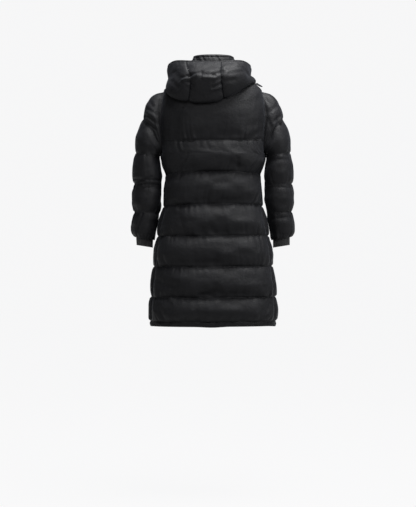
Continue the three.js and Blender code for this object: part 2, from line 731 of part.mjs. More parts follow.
// Front zip: two tapes and the closed chain of teeth between them, from the collar's top edge to
// just above the hem.
function zip() {
  const onCollar = [0.97, 0.72, 0.45, 0.2, 0.04].map((w) => ({
    point: collarInner(180, w),
    out: collarFacing(180, w),
    half: collarInner(zipEdge(0), w).x,
  }));
  const onBody = bodyRows().filter((_, k) => k % 2 === 1).map((t) => ({
    point: bodyInner(180, t),
    out: bodyFacing(180, t),
    half: ZIP_HALF,
  }));
  const stations = [...onCollar, ...onBody].map(({ point, out, half }) => {
    const wide = half - ZIP_CLEARANCE;
    const section = [
      [wide, 0], [wide, TAPE], [CHAIN_HALF, TAPE], [CHAIN_HALF - 0.5, CHAIN_TOP],
      [-CHAIN_HALF + 0.5, CHAIN_TOP], [-CHAIN_HALF, TAPE], [-wide, TAPE], [-wide, 0],
    ];
    return section.map(([across, depth]) => {
      const at = moved(point, out, depth);
      at.x += across;
      return at;
    });
  });
  return bar(stations);
}

// Zip slider and its pull tab, in a frame of their own: y points into the coat, z up the zip, and
// the chain's top is at y = 0.

function roundedPlate(width, top, bottom, radius, thick, low) {
  const [left, right] = [-width / 2, width / 2];
  const shape = new THREE.Shape();
  shape.moveTo(left + radius, bottom);
  shape.lineTo(right - radius, bottom);
  shape.quadraticCurveTo(right, bottom, right, bottom + radius);
  shape.lineTo(right, top - radius);
  shape.quadraticCurveTo(right, top, right - radius, top);
  shape.lineTo(left + radius, top);
  shape.quadraticCurveTo(left, top, left, top - radius);
  shape.lineTo(left, bottom + radius);
  shape.quadraticCurveTo(left, bottom, left + radius, bottom);
  const plate = new THREE.ExtrudeGeometry(shape, { depth: thick, bevelEnabled: false, curveSegments: 4 });
  plate.rotateX(Math.PI / 2);
  plate.translate(0, -low, 0);
  return plate;
}

const wasm = await Module();
wasm.setup();

function joined(parts) {
  const solids = parts.map((part) => {
    part.deleteAttribute('normal');
    part.deleteAttribute('uv');
    const whole = mergeVertices(part, 1e-4);
    return new wasm.Manifold(new wasm.Mesh({
      numProp: 3,
      vertProperties: new Float32Array(whole.attributes.position.array),
      triVerts: new Uint32Array(whole.index.array),
    }));
  });
  const mesh = solids.reduce((sum, solid) => sum.add(solid)).getMesh();
  const made = new THREE.BufferGeometry();
  made.setAttribute('position', new THREE.BufferAttribute(mesh.vertProperties, 3));
  made.setIndex(new THREE.BufferAttribute(mesh.triVerts, 1));
  made.computeVertexNormals();
  return made;
}

function slider() {
  const lugs = [-1, 1].map((side) => {
    const lug = new THREE.BoxGeometry(LUG.thick, LUG.rise, LUG.tall);
    lug.translate(side * LUG.x, -SLIDER.thick - LUG.rise / 2 + 0.4, HINGE.z);
    return lug;
  });
  const plate = roundedPlate(SLIDER.width, SLIDER.tall / 2, -SLIDER.tall / 2, 3, SLIDER.thick, 0);
  return joined([plate, ...lugs]);
}

function pullTab() {
  const barrel = new THREE.CylinderGeometry(PULL.barrel, PULL.barrel, PULL.neck, 12);
  barrel.rotateZ(Math.PI / 2);
  barrel.translate(0, -HINGE.out, HINGE.z);
  const low = HINGE.out - PULL.thick / 2;
  const neck = roundedPlate(PULL.neck, HINGE.z, HINGE.z - 8, 0.5, PULL.thick, low);
  const tab = roundedPlate(PULL.width, HINGE.z - 6, HINGE.z - PULL.length, 2.5, PULL.thick, low);
  return joined([barrel, neck, tab]);
}

// Assembly

const cloth = { color: 0x1d1e22, roughness: 0.62, metalness: 0 };
const metal = { color: 0x2a2a2c, roughness: 0.35, metalness: 1 };
const knit = { color: 0x131316, roughness: 0.9, metalness: 0 };

const group = new THREE.Group();

function place(name, geometry, look) {
  const mesh = new THREE.Mesh(geometry, new THREE.MeshStandardMaterial(look));
  mesh.name = name;
  group.add(mesh);
  return mesh;
}

place('back', backPanel(), cloth);
place('front_left', leftFront(), cloth);
place('front_right', rightFront(), cloth);
place('sleeve_left', sleeve(), cloth);
place('sleeve_right', mirrored(sleeve()), cloth);
place('cuff_left', cuff(), knit);
place('cuff_right', mirrored(cuff()), knit);
place('collar', collar(), cloth);
for (const part of hoodColumns()) {
  place(part.name, hoodPanel(part.low, part.high, part.columns), cloth);
}
place('hood_edge', hoodEdge(), cloth);
place('hood_tab', shoulderTab(), cloth);
place('zip', zip(), knit);

const sliderOut = collarFacing(180, SLIDER_PLACE);
const sliderSeat = moved(collarInner(180, SLIDER_PLACE), sliderOut, CHAIN_TOP + GAP);
for (const [name, geometry] of [['zip_slider', slider()], ['zip_pull', pullTab()]]) {
  const mesh = place(name, geometry, metal);
  mesh.position.copy(sliderSeat);
  mesh.rotation.x = Math.atan2(-sliderOut.z, -sliderOut.y);
}

export default group;
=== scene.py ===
import json

import bpy
import numpy as np
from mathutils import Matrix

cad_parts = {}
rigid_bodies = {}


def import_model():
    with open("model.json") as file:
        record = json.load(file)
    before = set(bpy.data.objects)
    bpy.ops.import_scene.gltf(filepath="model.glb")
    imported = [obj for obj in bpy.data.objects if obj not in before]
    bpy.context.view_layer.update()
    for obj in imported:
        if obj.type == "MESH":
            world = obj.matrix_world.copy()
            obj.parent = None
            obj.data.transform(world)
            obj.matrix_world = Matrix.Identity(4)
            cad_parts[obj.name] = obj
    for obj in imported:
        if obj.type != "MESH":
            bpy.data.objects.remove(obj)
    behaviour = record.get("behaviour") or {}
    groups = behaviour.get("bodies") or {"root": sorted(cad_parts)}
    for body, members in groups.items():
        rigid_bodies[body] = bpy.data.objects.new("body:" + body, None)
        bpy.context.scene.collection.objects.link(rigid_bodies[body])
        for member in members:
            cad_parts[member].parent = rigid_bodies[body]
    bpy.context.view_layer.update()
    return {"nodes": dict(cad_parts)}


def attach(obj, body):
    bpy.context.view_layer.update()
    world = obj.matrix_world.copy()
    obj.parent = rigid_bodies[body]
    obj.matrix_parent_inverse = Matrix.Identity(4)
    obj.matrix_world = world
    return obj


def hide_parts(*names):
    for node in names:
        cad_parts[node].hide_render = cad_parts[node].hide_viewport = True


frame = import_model()
for made in list(bpy.data.objects):
    if made.name in ("Cube", "Light", "Camera"):
        bpy.data.objects.remove(made)

# Body: a back and two fronts of down-proof nylon, quilted through to a plain inner cloth in
# seven channels. The panels are cut flat, stitched across, filled and sewn at the sides, and the
# shoulders, side seams and front edges pull in where the filling is caught.

# Lengths are in metres and angles in degrees, here and below, unless a comment says otherwise.
SEAM_WALL = 0.0045
BODY_CREST = 0.028
PINCH = 0.013
ARMHOLE_PINCH = 0.034
ROUNDNESS = 2.4
CHANNELS = 7
HEM_BAND = 6.82
HEM_BAND_PUFF = 0.004
SHOULDER_POINT = 0.45
ARMPIT = 1.36
ARMHOLE_SPREAD = 25
SIDE_SEAM_SHIFT = 18
ZIP_HALF = 0.014
SEWN_GAP = 0.00006
YOKE_HEIGHT = 0.25
CHANNEL_HEIGHT = 0.12
HEM_BAND_HEIGHT = 0.02
PANEL_ROWS = 300
HEM_BAND_ROWS = 12

# The filling's share under the arms, and the powers that round a channel and lower its crest.
SIDE_FULLNESS = 0.36
CHANNEL_ROUNDNESS = 0.6
CREST_LEAN = 1.12

# Puckers: a ripple's width along the seam, and its heights above and below the stitches.
FINE_PUCKER = (0.009, 0.0022, 0.002)
EVEN_PUCKER = (0.016, 0.011, 0.0075)
BROAD_PUCKER = (0.034, 0.012)
PUCKER_LEAN = 0.3
REACH_ABOVE = 0.034
REACH_BELOW = 0.018
GROOVE_DEPTH = 0.0024
GROOVE_HALF = 0.0032
SIDE_PUCKER = 0.0016
HEM_PUCKER = 0.0016
SEAM_WOBBLE = 0.016
SOFT_LUMPS = 0.0034
HEM_WAVE = 0.0022
DENT_SCALE = 1.5
THINNEST_WALL = 0.0019

# Columns: channel, side x, side z, back y, back z, front y, front z, in millimetres.
BODY = np.array([
    [0, 84, 6, 62, 0, -80, -50],
    [0.22, 134, -25, 84, -44, -100, -84],
    [SHOULDER_POINT, 184, -56, 106, -106, -118, -130],
    [0.72, 208, -136, 117, -178, -124, -190],
    [1, 205, -245, 120, -250, -126, -252],
    [2, 179, -378, 112, -368, -124, -374],
    [3, 186, -499, 112, -491, -126, -495],
    [4, 209, -613, 121, -612, -131, -612],
    [5, 224, -729, 127, -728, -135, -729],
    [6, 236, -846, 130, -845, -138, -846],
    [7, 240, -958, 131, -957, -139, -958],
]) * np.array([1] + [0.001] * 6)

# Shallow hollows and ridges in the filling, as seen from behind or in front. Columns: start x
# and z, end x and z, depth (a ridge is negative) and half width, in millimetres.
BACK_DENTS = np.array([
    [40, -600, -30, -592, 6, 20], [10, -578, -6, -604, 4, 12], [-60, -600, -110, -596, 4, 18],
    [60, -718, -20, -714, 5, 18], [-10, -690, 4, -728, 5, 12], [100, -712, 150, -716, 4, 16],
    [40, -838, -16, -826, 6, 18], [-6, -800, 10, -842, 5, 12], [-70, -836, -140, -832, 4, 16],
    [-100, -352, -60, -330, 4, 13], [-90, -360, -86, -318, 4, 7], [120, -356, 70, -352, 4, 18],
    [-140, -238, -180, -214, 5, 12], [150, -246, 182, -216, 5, 12], [60, -236, 30, -206, 3, 14],
    [70, -480, 10, -474, 4, 20], [-40, -482, -120, -476, 4, 18], [150, -800, 196, -790, 4, 20],
    [-30, -236, -90, -230, 4, 16], [120, -944, 60, -936, 4, 14], [-60, -944, -130, -938, 4, 14],
    [176, -940, 200, -880, 4, 12], [-176, -930, -204, -870, 4, 12], [0, -944, -24, -936, 3, 10],
]) * 0.001
FRONT_DENTS = BACK_DENTS * np.array([-1, 1, -1, 1, 1, 1])


def smooth(low, high, x):
    """A soft step: 0 below low, 1 above high, and 3k^2 - 2k^3 between."""
    k = np.clip((x - low) / (high - low), 0, 1)
    return k * k * (3 - 2 * k)


def mix(a, b, k):
    """The straight line from a to b, at the share k."""
    return a + (b - a) * k


def hermite(a, b, slope_a, slope_b, k):
    """The cubic from a to b that leaves and arrives with the slopes given."""
    return (
        (2 * k**3 - 3 * k**2 + 1) * a + (k**3 - 2 * k**2 + k) * slope_a
        + (3 * k**2 - 2 * k**3) * b + (k**3 - k**2) * slope_b
    )


def along(table, at):
    """The cubic curve through a table's rows; a row's slope is taken from its neighbours."""
    keys, rows = table[:, 0], table[:, 1:]
    before = np.maximum(np.arange(len(keys)) - 1, 0)
    after = np.minimum(np.arange(len(keys)) + 1, len(keys) - 1)
    slopes = (rows[after] - rows[before]) / (keys[after] - keys[before])[:, None]
    x = np.clip(at, keys[0], keys[-1])
    i = np.clip(np.searchsorted(keys, x, side="left") - 1, 0, len(keys) - 2)
    span = (keys[i + 1] - keys[i])[..., None]
    k = (x - keys[i])[..., None] / span
    return hermite(rows[i], rows[i + 1], slopes[i] * span, slopes[i + 1] * span, k)


def on_ring(ring, angle):
    """A superellipse in plan, with its height mixed from the side to the back or front."""
    across, forward = np.sin(np.radians(angle)), np.cos(np.radians(angle))
    side_x, side_z, back_y, back_z, front_y, front_z = np.moveaxis(ring, -1, 0)
    power = 2 / ROUNDNESS
    back = forward > 0
    return np.stack([
        side_x * np.sign(across) * np.abs(across) ** power,
        np.where(back, back_y, front_y) * np.abs(forward) ** power,
        mix(side_z, np.where(back, back_z, front_z), np.abs(forward) ** 1.5),
    ], axis=-1)


def unit(vector):
    """The vector divided by its length."""
    return vector / np.maximum(np.linalg.norm(vector, axis=-1, keepdims=True), 1e-12)


def facing(surface, a, b, step_a, step_b):
    """The surface's normal: the cross product of its two central differences."""
    by_a = surface(a + step_a, b) - surface(a - step_a, b)
    by_b = surface(a, b + step_b) - surface(a, b - step_b)
    return unit(np.cross(by_a, by_b))


def ripple(x, cell, seed):
    """Smooth noise along a line: random heights one cell apart, joined by soft steps."""
    heights = np.random.default_rng(seed).uniform(-1, 1, 1024)
    i = np.floor(x / cell).astype(int)
    return mix(heights[i % 1024], heights[(i + 1) % 1024], smooth(0, 1, x / cell - i))


def mottle(x, y, cell_x, cell_y, seed):
    """Smooth noise over a plane, from random heights on a lattice."""
    heights = np.random.default_rng(seed).uniform(-1, 1, (256, 256))
    i, j = np.floor(x / cell_x).astype(int), np.floor(y / cell_y).astype(int)
    u, v = smooth(0, 1, x / cell_x - i), smooth(0, 1, y / cell_y - j)
    low = mix(heights[i % 256, j % 256], heights[(i + 1) % 256, j % 256], u)
    high = mix(heights[i % 256, (j + 1) % 256], heights[(i + 1) % 256, (j + 1) % 256], u)
    return mix(low, high, v)


def dents(points, table):
    """The depth of the listed hollows: a bell across each line, fading past its ends."""
    depth = np.zeros(points.shape[:-1])
    for x0, z0, x1, z1, deep, wide in table:
        start, line = np.array([x0, z0]), np.array([x1 - x0, z1 - z0])
        off = points[..., [0, 2]] - start
        k = np.clip(off @ line / (line @ line), 0, 1)
        gap = np.linalg.norm(off - k[..., None] * line, axis=-1)
        depth += deep * np.exp(-((gap / wide) ** 2))
    return depth


def body_inner(angle, t):
    """The plain inner face, by the angle round the body and the channel coordinate."""
    return on_ring(along(BODY, t), angle)


def body_facing(angle, t):
    """The inner face's outward normal."""
    return facing(body_inner, angle, np.clip(t, 0.02, CHANNELS - 0.02), 0.5, 0.02)


def side_edge(t, side):
    """The angle of a panel's side edge: shoulder, half ellipse of armhole, then side seam."""
    s = np.clip((t - SHOULDER_POINT) / (ARMPIT - SHOULDER_POINT), 0, 1)
    lens = side * ARMHOLE_SPREAD * np.sqrt(4 * s * (1 - s))
    return 90 + lens - SIDE_SEAM_SHIFT * smooth(ARMPIT, ARMPIT + 2, t)


def zip_edge(t):
    """The angle at which the ring is half a zip's width from the middle of the front."""
    share = (ZIP_HALF / along(BODY, t)[..., 0]) ** (ROUNDNESS / 2)
    return 180 - np.degrees(np.arcsin(share))


def channel_share(t):
    """How far down its channel a point is, 0 at the upper stitches and 1 at the lower."""
    channel = np.minimum(CHANNELS - 1, np.floor(t + 1e-9))
    end = np.where(channel == CHANNELS - 1, HEM_BAND, channel + 1)
    return np.clip((t - channel) / (end - channel), 0, 1)


def channel_puff(t):
    """The filling's height: a sine raised to a power, fullest a little below the middle."""
    across = np.clip((t - HEM_BAND) / (CHANNELS - HEM_BAND), 0, 1)
    band = HEM_BAND_PUFF / (BODY_CREST - SEAM_WALL) * np.sqrt(np.sin(np.pi * across) + 1e-9)
    crest = np.maximum(0, np.sin(np.pi * channel_share(t) ** CREST_LEAN))
    return np.where(t > HEM_BAND, band, crest**CHANNEL_ROUNDNESS)


def round_puff(angle):
    """Channels are fullest at the centre back and front and flatter under the arms."""
    return mix(SIDE_FULLNESS, 1, np.abs(np.cos(np.radians(angle))))


def body_thickness(angle, t, from_edge):
    """The wall's thickness: the stitched wall, and the filling pinched towards the edges."""
    filled = (BODY_CREST - SEAM_WALL) * channel_puff(t) * round_puff(angle)
    beside_arm = smooth(0.25, 0.5, t) * (1 - smooth(1.2, 1.5, t)) * (np.abs(angle) < 135)
    return SEAM_WALL + filled * (1 - np.exp(-from_edge / mix(PINCH, ARMHOLE_PINCH, beside_arm)))


def gathers(run, share, height, seed):
    """Puckers and a tight groove at the stitches: ripples along the seam that die out from it."""
    from_top, from_bottom = share * height, (1 - share) * height
    nearest = np.minimum(from_top, from_bottom)
    lean = run + PUCKER_LEAN * from_bottom * ripple(run, 0.12, seed + 5)
    fine = ripple(run, FINE_PUCKER[0], seed)
    even = np.abs(ripple(lean, EVEN_PUCKER[0], seed + 1)) - 0.5
    broad = np.abs(ripple(lean, BROAD_PUCKER[0], seed + 2)) - 0.5
    reach = REACH_ABOVE + 0.02 * ripple(run, 0.05, seed + 3)
    above = np.exp(-((from_bottom / reach) ** 1.5)) * (0.7 + 0.3 * ripple(run, 0.09, seed + 4))
    below = np.exp(-from_top / REACH_BELOW)
    puckers = (FINE_PUCKER[1] * fine + EVEN_PUCKER[1] * even + BROAD_PUCKER[1] * broad) * above
    puckers += (FINE_PUCKER[2] * fine + EVEN_PUCKER[2] * even) * below
    groove = GROOVE_DEPTH * np.exp(-((nearest / GROOVE_HALF) ** 2))
    return puckers * (1 - np.exp(-nearest / 0.004)) - groove


def beside_seam(distance, reach):
    """Rises from nothing at a seam and dies out past the reach: a product of exponentials."""
    return np.exp(-distance / reach) * (1 - np.exp(-distance / 0.003))


def run_lengths(points):
    """The distances along a grid's columns and rows, which are its cloth coordinates."""
    across = np.linalg.norm(np.diff(points, axis=1), axis=-1)
    down = np.linalg.norm(np.diff(points, axis=0), axis=-1)
    across = np.concatenate([np.zeros((len(points), 1)), np.cumsum(across, axis=1)], axis=1)
    down = np.concatenate([np.zeros((1, points.shape[1])), np.cumsum(down, axis=0)])
    return across, np.broadcast_to(down.mean(axis=1, keepdims=True), across.shape)


def quads(ids, closed):
    """The four corners of every cell of a grid of vertex numbers."""
    turned = np.roll(ids, -1, axis=1) if closed else ids[:, 1:]
    left = ids if closed else ids[:, :-1]
    cells = [left[:-1], turned[:-1], turned[1:], left[1:]]
    return np.stack(cells, axis=-1).reshape(-1, 4)


def make_mesh(name, points, faces, cloth):
    """A mesh object at the origin from points, faces and cloth coordinates, shaded smooth."""
    mesh = bpy.data.meshes.new(name)
    mesh.vertices.add(len(points))
    mesh.vertices.foreach_set("co", np.asarray(points, np.float32).ravel())
    count, sides = faces.shape
    mesh.loops.add(count * sides)
    mesh.loops.foreach_set("vertex_index", faces.ravel().astype(np.int32))
    mesh.polygons.add(count)
    mesh.polygons.foreach_set("loop_start", np.arange(0, count * sides, sides, dtype=np.int32))
    mesh.polygons.foreach_set("use_smooth", np.ones(count, bool))
    uv = mesh.uv_layers.new(name="cloth")
    uv.data.foreach_set("uv", np.asarray(cloth, np.float32)[faces.ravel()].ravel())
    mesh.update(calc_edges=True)
    mesh.validate()
    made = bpy.data.objects.new(name, mesh)
    bpy.context.scene.collection.objects.link(made)
    return made


def make_wall(name, outer, inner, cloth, closed=False):
    """A closed wall: the outer grid, the inner grid turned over, and the strip between them."""
    rows, columns = outer.shape[:2]
    ids = np.arange(rows * columns).reshape(rows, columns)
    back = ids + rows * columns
    parts = [quads(ids, closed), quads(back, closed)[:, ::-1]]
    if closed:
        ends = ((0, 1), (-1, -1))
        parts += [edge_strip(ids[k][::step], back[k][::step]) for k, step in ends]
    else:
        way = [ids[0, :-1], ids[:-1, -1], ids[-1, :0:-1], ids[:0:-1, 0]]
        loop = np.concatenate(way)
        parts.append(edge_strip(loop, loop + rows * columns))
    points = np.concatenate([outer.reshape(-1, 3), inner.reshape(-1, 3)])
    flat = np.stack([part.ravel() for part in cloth], axis=-1)
    return make_mesh(name, points, np.concatenate(parts), np.concatenate([flat, flat]))


def edge_strip(loop, under):
    """Quads between two closed loops of the same length."""
    return np.stack([np.roll(loop, -1), loop, under, np.roll(under, -1)], axis=-1)


def new_finish(name, rough):
    """A new material of one roughness, and its surface node."""
    made = bpy.data.materials.new(name)
    made.use_nodes = True
    skin = made.node_tree.nodes["Principled BSDF"]
    skin.inputs["Roughness"].default_value = rough
    return made, skin


def fed_node(tree, kind, values, sources):
    """A shader node of a kind, with its inputs set to values or joined to other nodes."""
    node = tree.nodes.new(kind)
    if kind == "ShaderNodeMix":
        node.data_type = "RGBA"
    for name, value in values.items():
        node.inputs[name].default_value = value
    for name, source in sources.items():
        tree.links.new(source, node.inputs[name])
    return node


def noise(tree, scale, detail, rough=0.5):
    """Fractal noise in the object's coordinates, at a scale per metre."""
    place = tree.nodes.new("ShaderNodeTexCoord").outputs["Object"]
    values = {"Scale": scale, "Detail": detail, "Roughness": rough}
    return fed_node(tree, "ShaderNodeTexNoise", values, {"Vector": place}).outputs["Fac"]


def weave(tree, direction, scale, distortion):
    """Waves along one direction of the cloth coordinates, at a scale per metre."""
    place = tree.nodes.new("ShaderNodeUVMap")
    place.uv_map = "cloth"
    values = {"Scale": scale, "Distortion": distortion}
    wave = fed_node(tree, "ShaderNodeTexWave", values, {"Vector": place.outputs["UV"]})
    wave.bands_direction = direction
    return wave.outputs["Fac"]


def bump(tree, height, strength, distance, under=None):
    """A bump of the height given, over the bump before it."""
    sources = {"Height": height} if under is None else {"Height": height, "Normal": under}
    values = {"Strength": strength, "Distance": distance}
    return fed_node(tree, "ShaderNodeBump", values, sources).outputs["Normal"]


def spread(tree, source, low, high, from_low=0.3, from_high=0.7):
    """A value's range between from_low and from_high, stretched to run from low to high."""
    values = {"From Min": from_low, "From Max": from_high, "To Min": low, "To Max": high}
    return fed_node(tree, "ShaderNodeMapRange", values, {"Value": source}).outputs["Result"]


def blend(tree, share, dark, light):
    """The colour between two, by a share."""
    values = {"A": dark, "B": light}
    return fed_node(tree, "ShaderNodeMix", values, {"Factor": share}).outputs["Result"]


def shell_cloth():
    """Black down-proof nylon: a fine weave and faint crinkles, half matt with a soft sheen."""
    made, skin = new_finish("shell_cloth", 0.5)
    tree = made.node_tree
    skin.inputs["Sheen Weight"].default_value = 0.04
    skin.inputs["Sheen Roughness"].default_value = 0.45
    skin.inputs["Sheen Tint"].default_value = (0.75, 0.8, 0.95, 1)
    skin.inputs["Specular IOR Level"].default_value = 0.12
    patches = spread(tree, noise(tree, 14, 4), 0, 1)
    tone = blend(tree, patches, (0.0072, 0.0073, 0.0083, 1), (0.0108, 0.0109, 0.0122, 1))
    tree.links.new(tone, skin.inputs["Base Color"])
    tree.links.new(spread(tree, noise(tree, 30, 3), 0.5, 0.62), skin.inputs["Roughness"])
    surface = bump(tree, noise(tree, 38, 5, 0.6), 0.55, 0.006)
    for direction in ("X", "Y"):
        surface = bump(tree, weave(tree, direction, 520, 0.6), 0.12, 0.0002, surface)
    tree.links.new(surface, skin.inputs["Normal"])
    return made


shell = shell_cloth()


def finish_padded(piece, node):
    """Gives a padded piece its cloth and its body, and hides the solid that it stands for."""
    piece.data.materials.append(shell)
    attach(piece, "coat")
    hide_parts(node)


STITCH_LENGTH = 0.003
STITCH_STEP = 0.0038
STITCH_END = 0.006

# A stitch's section round its four corners: across and up from the seam line, in metres.
STITCH_SECTION = ((-0.00035, -0.0004), (0.00035, -0.0004), (0.0002, 0.0004), (-0.0002, 0.0004))

thread, thread_skin = new_finish("thread", 0.55)
thread_skin.inputs["Base Color"].default_value = (0.02, 0.02, 0.022, 1)


def stitches(node, levels, seams, outer, out, closed=False):
    """Thread along the lines of a grid at which its level passes a seam: short tapered bars."""
    bars = []
    for seam in seams:
        line, normal = (
            np.stack([
                [np.interp(seam, levels[:, j], grid[:, j, i]) for i in range(3)]
                for j in range(grid.shape[1])
            ])
            for grid in (outer, out)
        )
        if closed:
            line, normal = np.concatenate([line, line[:1]]), np.concatenate([normal, normal[:1]])
        run = np.concatenate([[0], np.cumsum(np.linalg.norm(np.diff(line, axis=0), axis=-1))])
        starts = np.arange(STITCH_END, run[-1] - STITCH_END - STITCH_LENGTH, STITCH_STEP)
        first, last = (
            np.stack([np.interp(at, run, line[:, i]) for i in range(3)], axis=-1)
            for at in (starts, starts + STITCH_LENGTH)
        )
        up = unit(np.stack([np.interp(starts, run, normal[:, i]) for i in range(3)], axis=-1))
        side = unit(np.cross(last - first, up))
        bars.append(np.stack([
            end + side * across + up * lift
            for end in (first, last) for across, lift in STITCH_SECTION
        ], axis=1))
    points = np.concatenate(bars)
    corners = np.array([
        [0, 3, 2, 1], [4, 5, 6, 7], [0, 1, 5, 4], [1, 2, 6, 5], [2, 3, 7, 6], [3, 0, 4, 7]
    ])
    faces = (np.arange(len(points))[:, None, None] * 8 + corners).reshape(-1, 4)
    flat = points.reshape(-1, 3)
    piece = make_mesh(f"{node}_stitches", flat, faces, flat[:, [0, 2]])
    piece.data.materials.append(thread)
    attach(piece, "coat")


def body_panel(node, low_edge, high_edge, columns, table, seed):
    """A panel between two edges: inner face, and outer face moved out by the thickness."""
    rows = np.linspace(0, HEM_BAND, PANEL_ROWS), np.linspace(HEM_BAND, CHANNELS, HEM_BAND_ROWS)
    t = np.concatenate([rows[0], rows[1][1:]])[:, None]
    even = np.linspace(0, 1, columns)
    share = mix(even, 0.5 - 0.5 * np.cos(np.pi * even), 0.6)[None, :]
    shift = np.degrees(SEWN_GAP / 2 / along(BODY, t)[..., 2])
    low, high = low_edge(t), high_edge(t)
    angle = mix(low + shift, high - shift, share)
    t = np.broadcast_to(t, angle.shape)
    inner = body_inner(angle, t)
    edges = [np.linalg.norm(inner - body_inner(edge, t), axis=-1) for edge in (low, high)]
    from_edge = np.minimum(*edges)
    run, down = run_lengths(inner)
    run = run + 0.3
    pinched = 1 - np.exp(-from_edge / PINCH)
    height = np.where(t < 1, YOKE_HEIGHT, CHANNEL_HEIGHT)
    height = np.where(t > HEM_BAND, HEM_BAND_HEIGHT, height)
    near_seam = np.abs(t - np.round(t)) < 0.4
    wobble = SEAM_WOBBLE * ripple(run, 0.045, seed + 9) * near_seam * pinched
    t_filled = np.where((t > 0.3) & (t < 6.6), t + wobble, t)
    thick = body_thickness(angle, t_filled, from_edge)
    thick += gathers(run + 0.7 * np.floor(t), channel_share(t_filled), height, seed) * pinched
    pucker = ripple(down, 0.009, seed + 21) + 0.7 * ripple(down, 0.02, seed + 22)
    thick += SIDE_PUCKER * pucker * beside_seam(from_edge, 0.012)
    thick += SOFT_LUMPS * mottle(run, down, 0.06, 0.03, seed + 30) * channel_puff(t) * pinched
    band = smooth(HEM_BAND - 0.01, HEM_BAND + 0.04, t) * np.exp(-(((t - 6.91) / 0.05) ** 2))
    thick += HEM_PUCKER * (ripple(run, 0.006, seed + 40) + ripple(run, 0.013, seed + 41)) * band
    thick -= DENT_SCALE * dents(inner, table) * np.minimum(1, (thick - SEAM_WALL) / 0.012)
    outer = inner + body_facing(angle, t) * np.maximum(thick, THINNEST_WALL)[..., None]
    hem = smooth(6.6, CHANNELS, t) * (HEM_WAVE * ripple(run, 0.07, seed + 50))
    outer[..., 2] += hem
    inner[..., 2] += hem
    piece = make_wall(f"{node}_quilted", outer, inner, (run, down))
    finish_padded(piece, node)
    stitches(node, t_filled, (1, 2, 3, 4, 5, 6, HEM_BAND), outer, body_facing(angle, t))


body_panel("back", lambda t: -side_edge(t, -1), lambda t: side_edge(t, -1), 152, BACK_DENTS, 11)
body_panel("front_left", lambda t: side_edge(t, 1), zip_edge, 74, FRONT_DENTS, 101)
body_panel(
    "front_right", lambda t: -zip_edge(t), lambda t: -side_edge(t, 1), 74, FRONT_DENTS, 201
)

# Sleeves: two set-in tubes of the same quilted cloth in five channels. Each is sewn to the
# armhole, its first stitch line runs out at the armhole under the arm, and its hem rolls in.

SLEEVE_CREST = 0.015
SLEEVE_HEAD = 0.53
SLEEVE_UNDER = 0.05
HEAD_FULLNESS = 0.2
SLEEVE_CHANNELS = 5
SLEEVE_CHANNEL_HEIGHT = 0.11
SLEEVE_RADIUS = 0.052
SLEEVE_PUCKERS = 0.9
SLEEVE_LUMPS = 0.0022
FRONT_CREASES = 0.7
ARMHOLE_SEAM = 0.0006

# How strongly the sleeve head's curve leaves the armhole and meets the second seam. OUT and DROP
# hold at the top and then at the front and back, MEET at the top and then under the arm, and
# UNDER_OUT on the outer and then on the inner face.
HEAD_OUT = (0.208, 0.12)
HEAD_DROP = (0.045, 0.1)
UNDER_OUT = (0.026, 0.008)
UNDER_INTO = 0.034
HEAD_MEET = (0.22, 0.046)

# Columns: seam number, centre x, y and z, half width across and deep, slope.
SLEEVE = np.array([
    [2, 252, -4, -300, 41, 64, 220],
    [3, 252, -6, -414, 48, 58, 100],
    [4, 257, -14, -521, 43, 54, 80],
    [4.7, 266.5, -21, -594, 38, 47, 120],
    [5, 266, -23, -621, 34.5, 39.5, 160],
]) * np.array([1] + [0.001] * 6)

# As the body's dents, on each sleeve's back half. The front half repeats them weaker.
LEFT_CREASES = np.array([
    [256, -150, 212, -186, 5, 6], [262, -168, 222, -204, 4, 5], [246, -128, 216, -150, 3, 6],
    [300, -392, 214, -398, 4, 5], [296, -404, 236, -386, 3, 4], [280, -430, 220, -424, 3, 5],
    [300, -300, 260, -292, 2.5, 6], [244, -92, 226, -120, 3, 7], [290, -610, 250, -606, 2, 5],
]) * 0.001
RIGHT_CREASES = np.array([
    [-256, -152, -232, -176, 4, 6], [-250, -106, -216, -140, 3, 8], [-222, -196, -208, -168, 3, 6],
    [-284, -318, -236, -322, 3, 8], [-296, -426, -236, -424, 3, 5], [-290, -540, -232, -544, 3, 6],
    [-290, -300, -262, -296, 2.5, 6], [-296, -608, -256, -604, 2, 5],
]) * 0.001


def armhole(turn):
    """The armhole's edge, and the directions out of the body and into the opening."""
    t = mix(SHOULDER_POINT, ARMPIT, (1 - np.cos(np.radians(turn))) / 2)
    angle = 90 - ARMHOLE_SPREAD * np.sin(np.radians(turn))
    middle = np.array((SHOULDER_POINT + ARMPIT) / 2)
    edge, out = body_inner(angle, t), body_facing(angle, t)
    into = body_inner(np.array(90.0), middle) - edge
    into = unit(into - out * (into * out).sum(axis=-1, keepdims=True))
    return edge + into * ARMHOLE_SEAM, out, into


def around(turn):
    """The turn measured from the outer side of the sleeve, either way."""
    return np.minimum(turn % 360, 360 - turn % 360)


def sleeve_ring(turn, v, extra):
    """An ellipse round the arm, tilted by its slope."""
    x, y, z, across, deep, slope = np.moveaxis(along(SLEEVE, v), -1, 0)
    side = (across + extra) * np.cos(np.radians(turn))
    return np.stack(
        [x + side, y + (deep + extra) * np.sin(np.radians(turn)), z + slope * side], axis=-1
    )


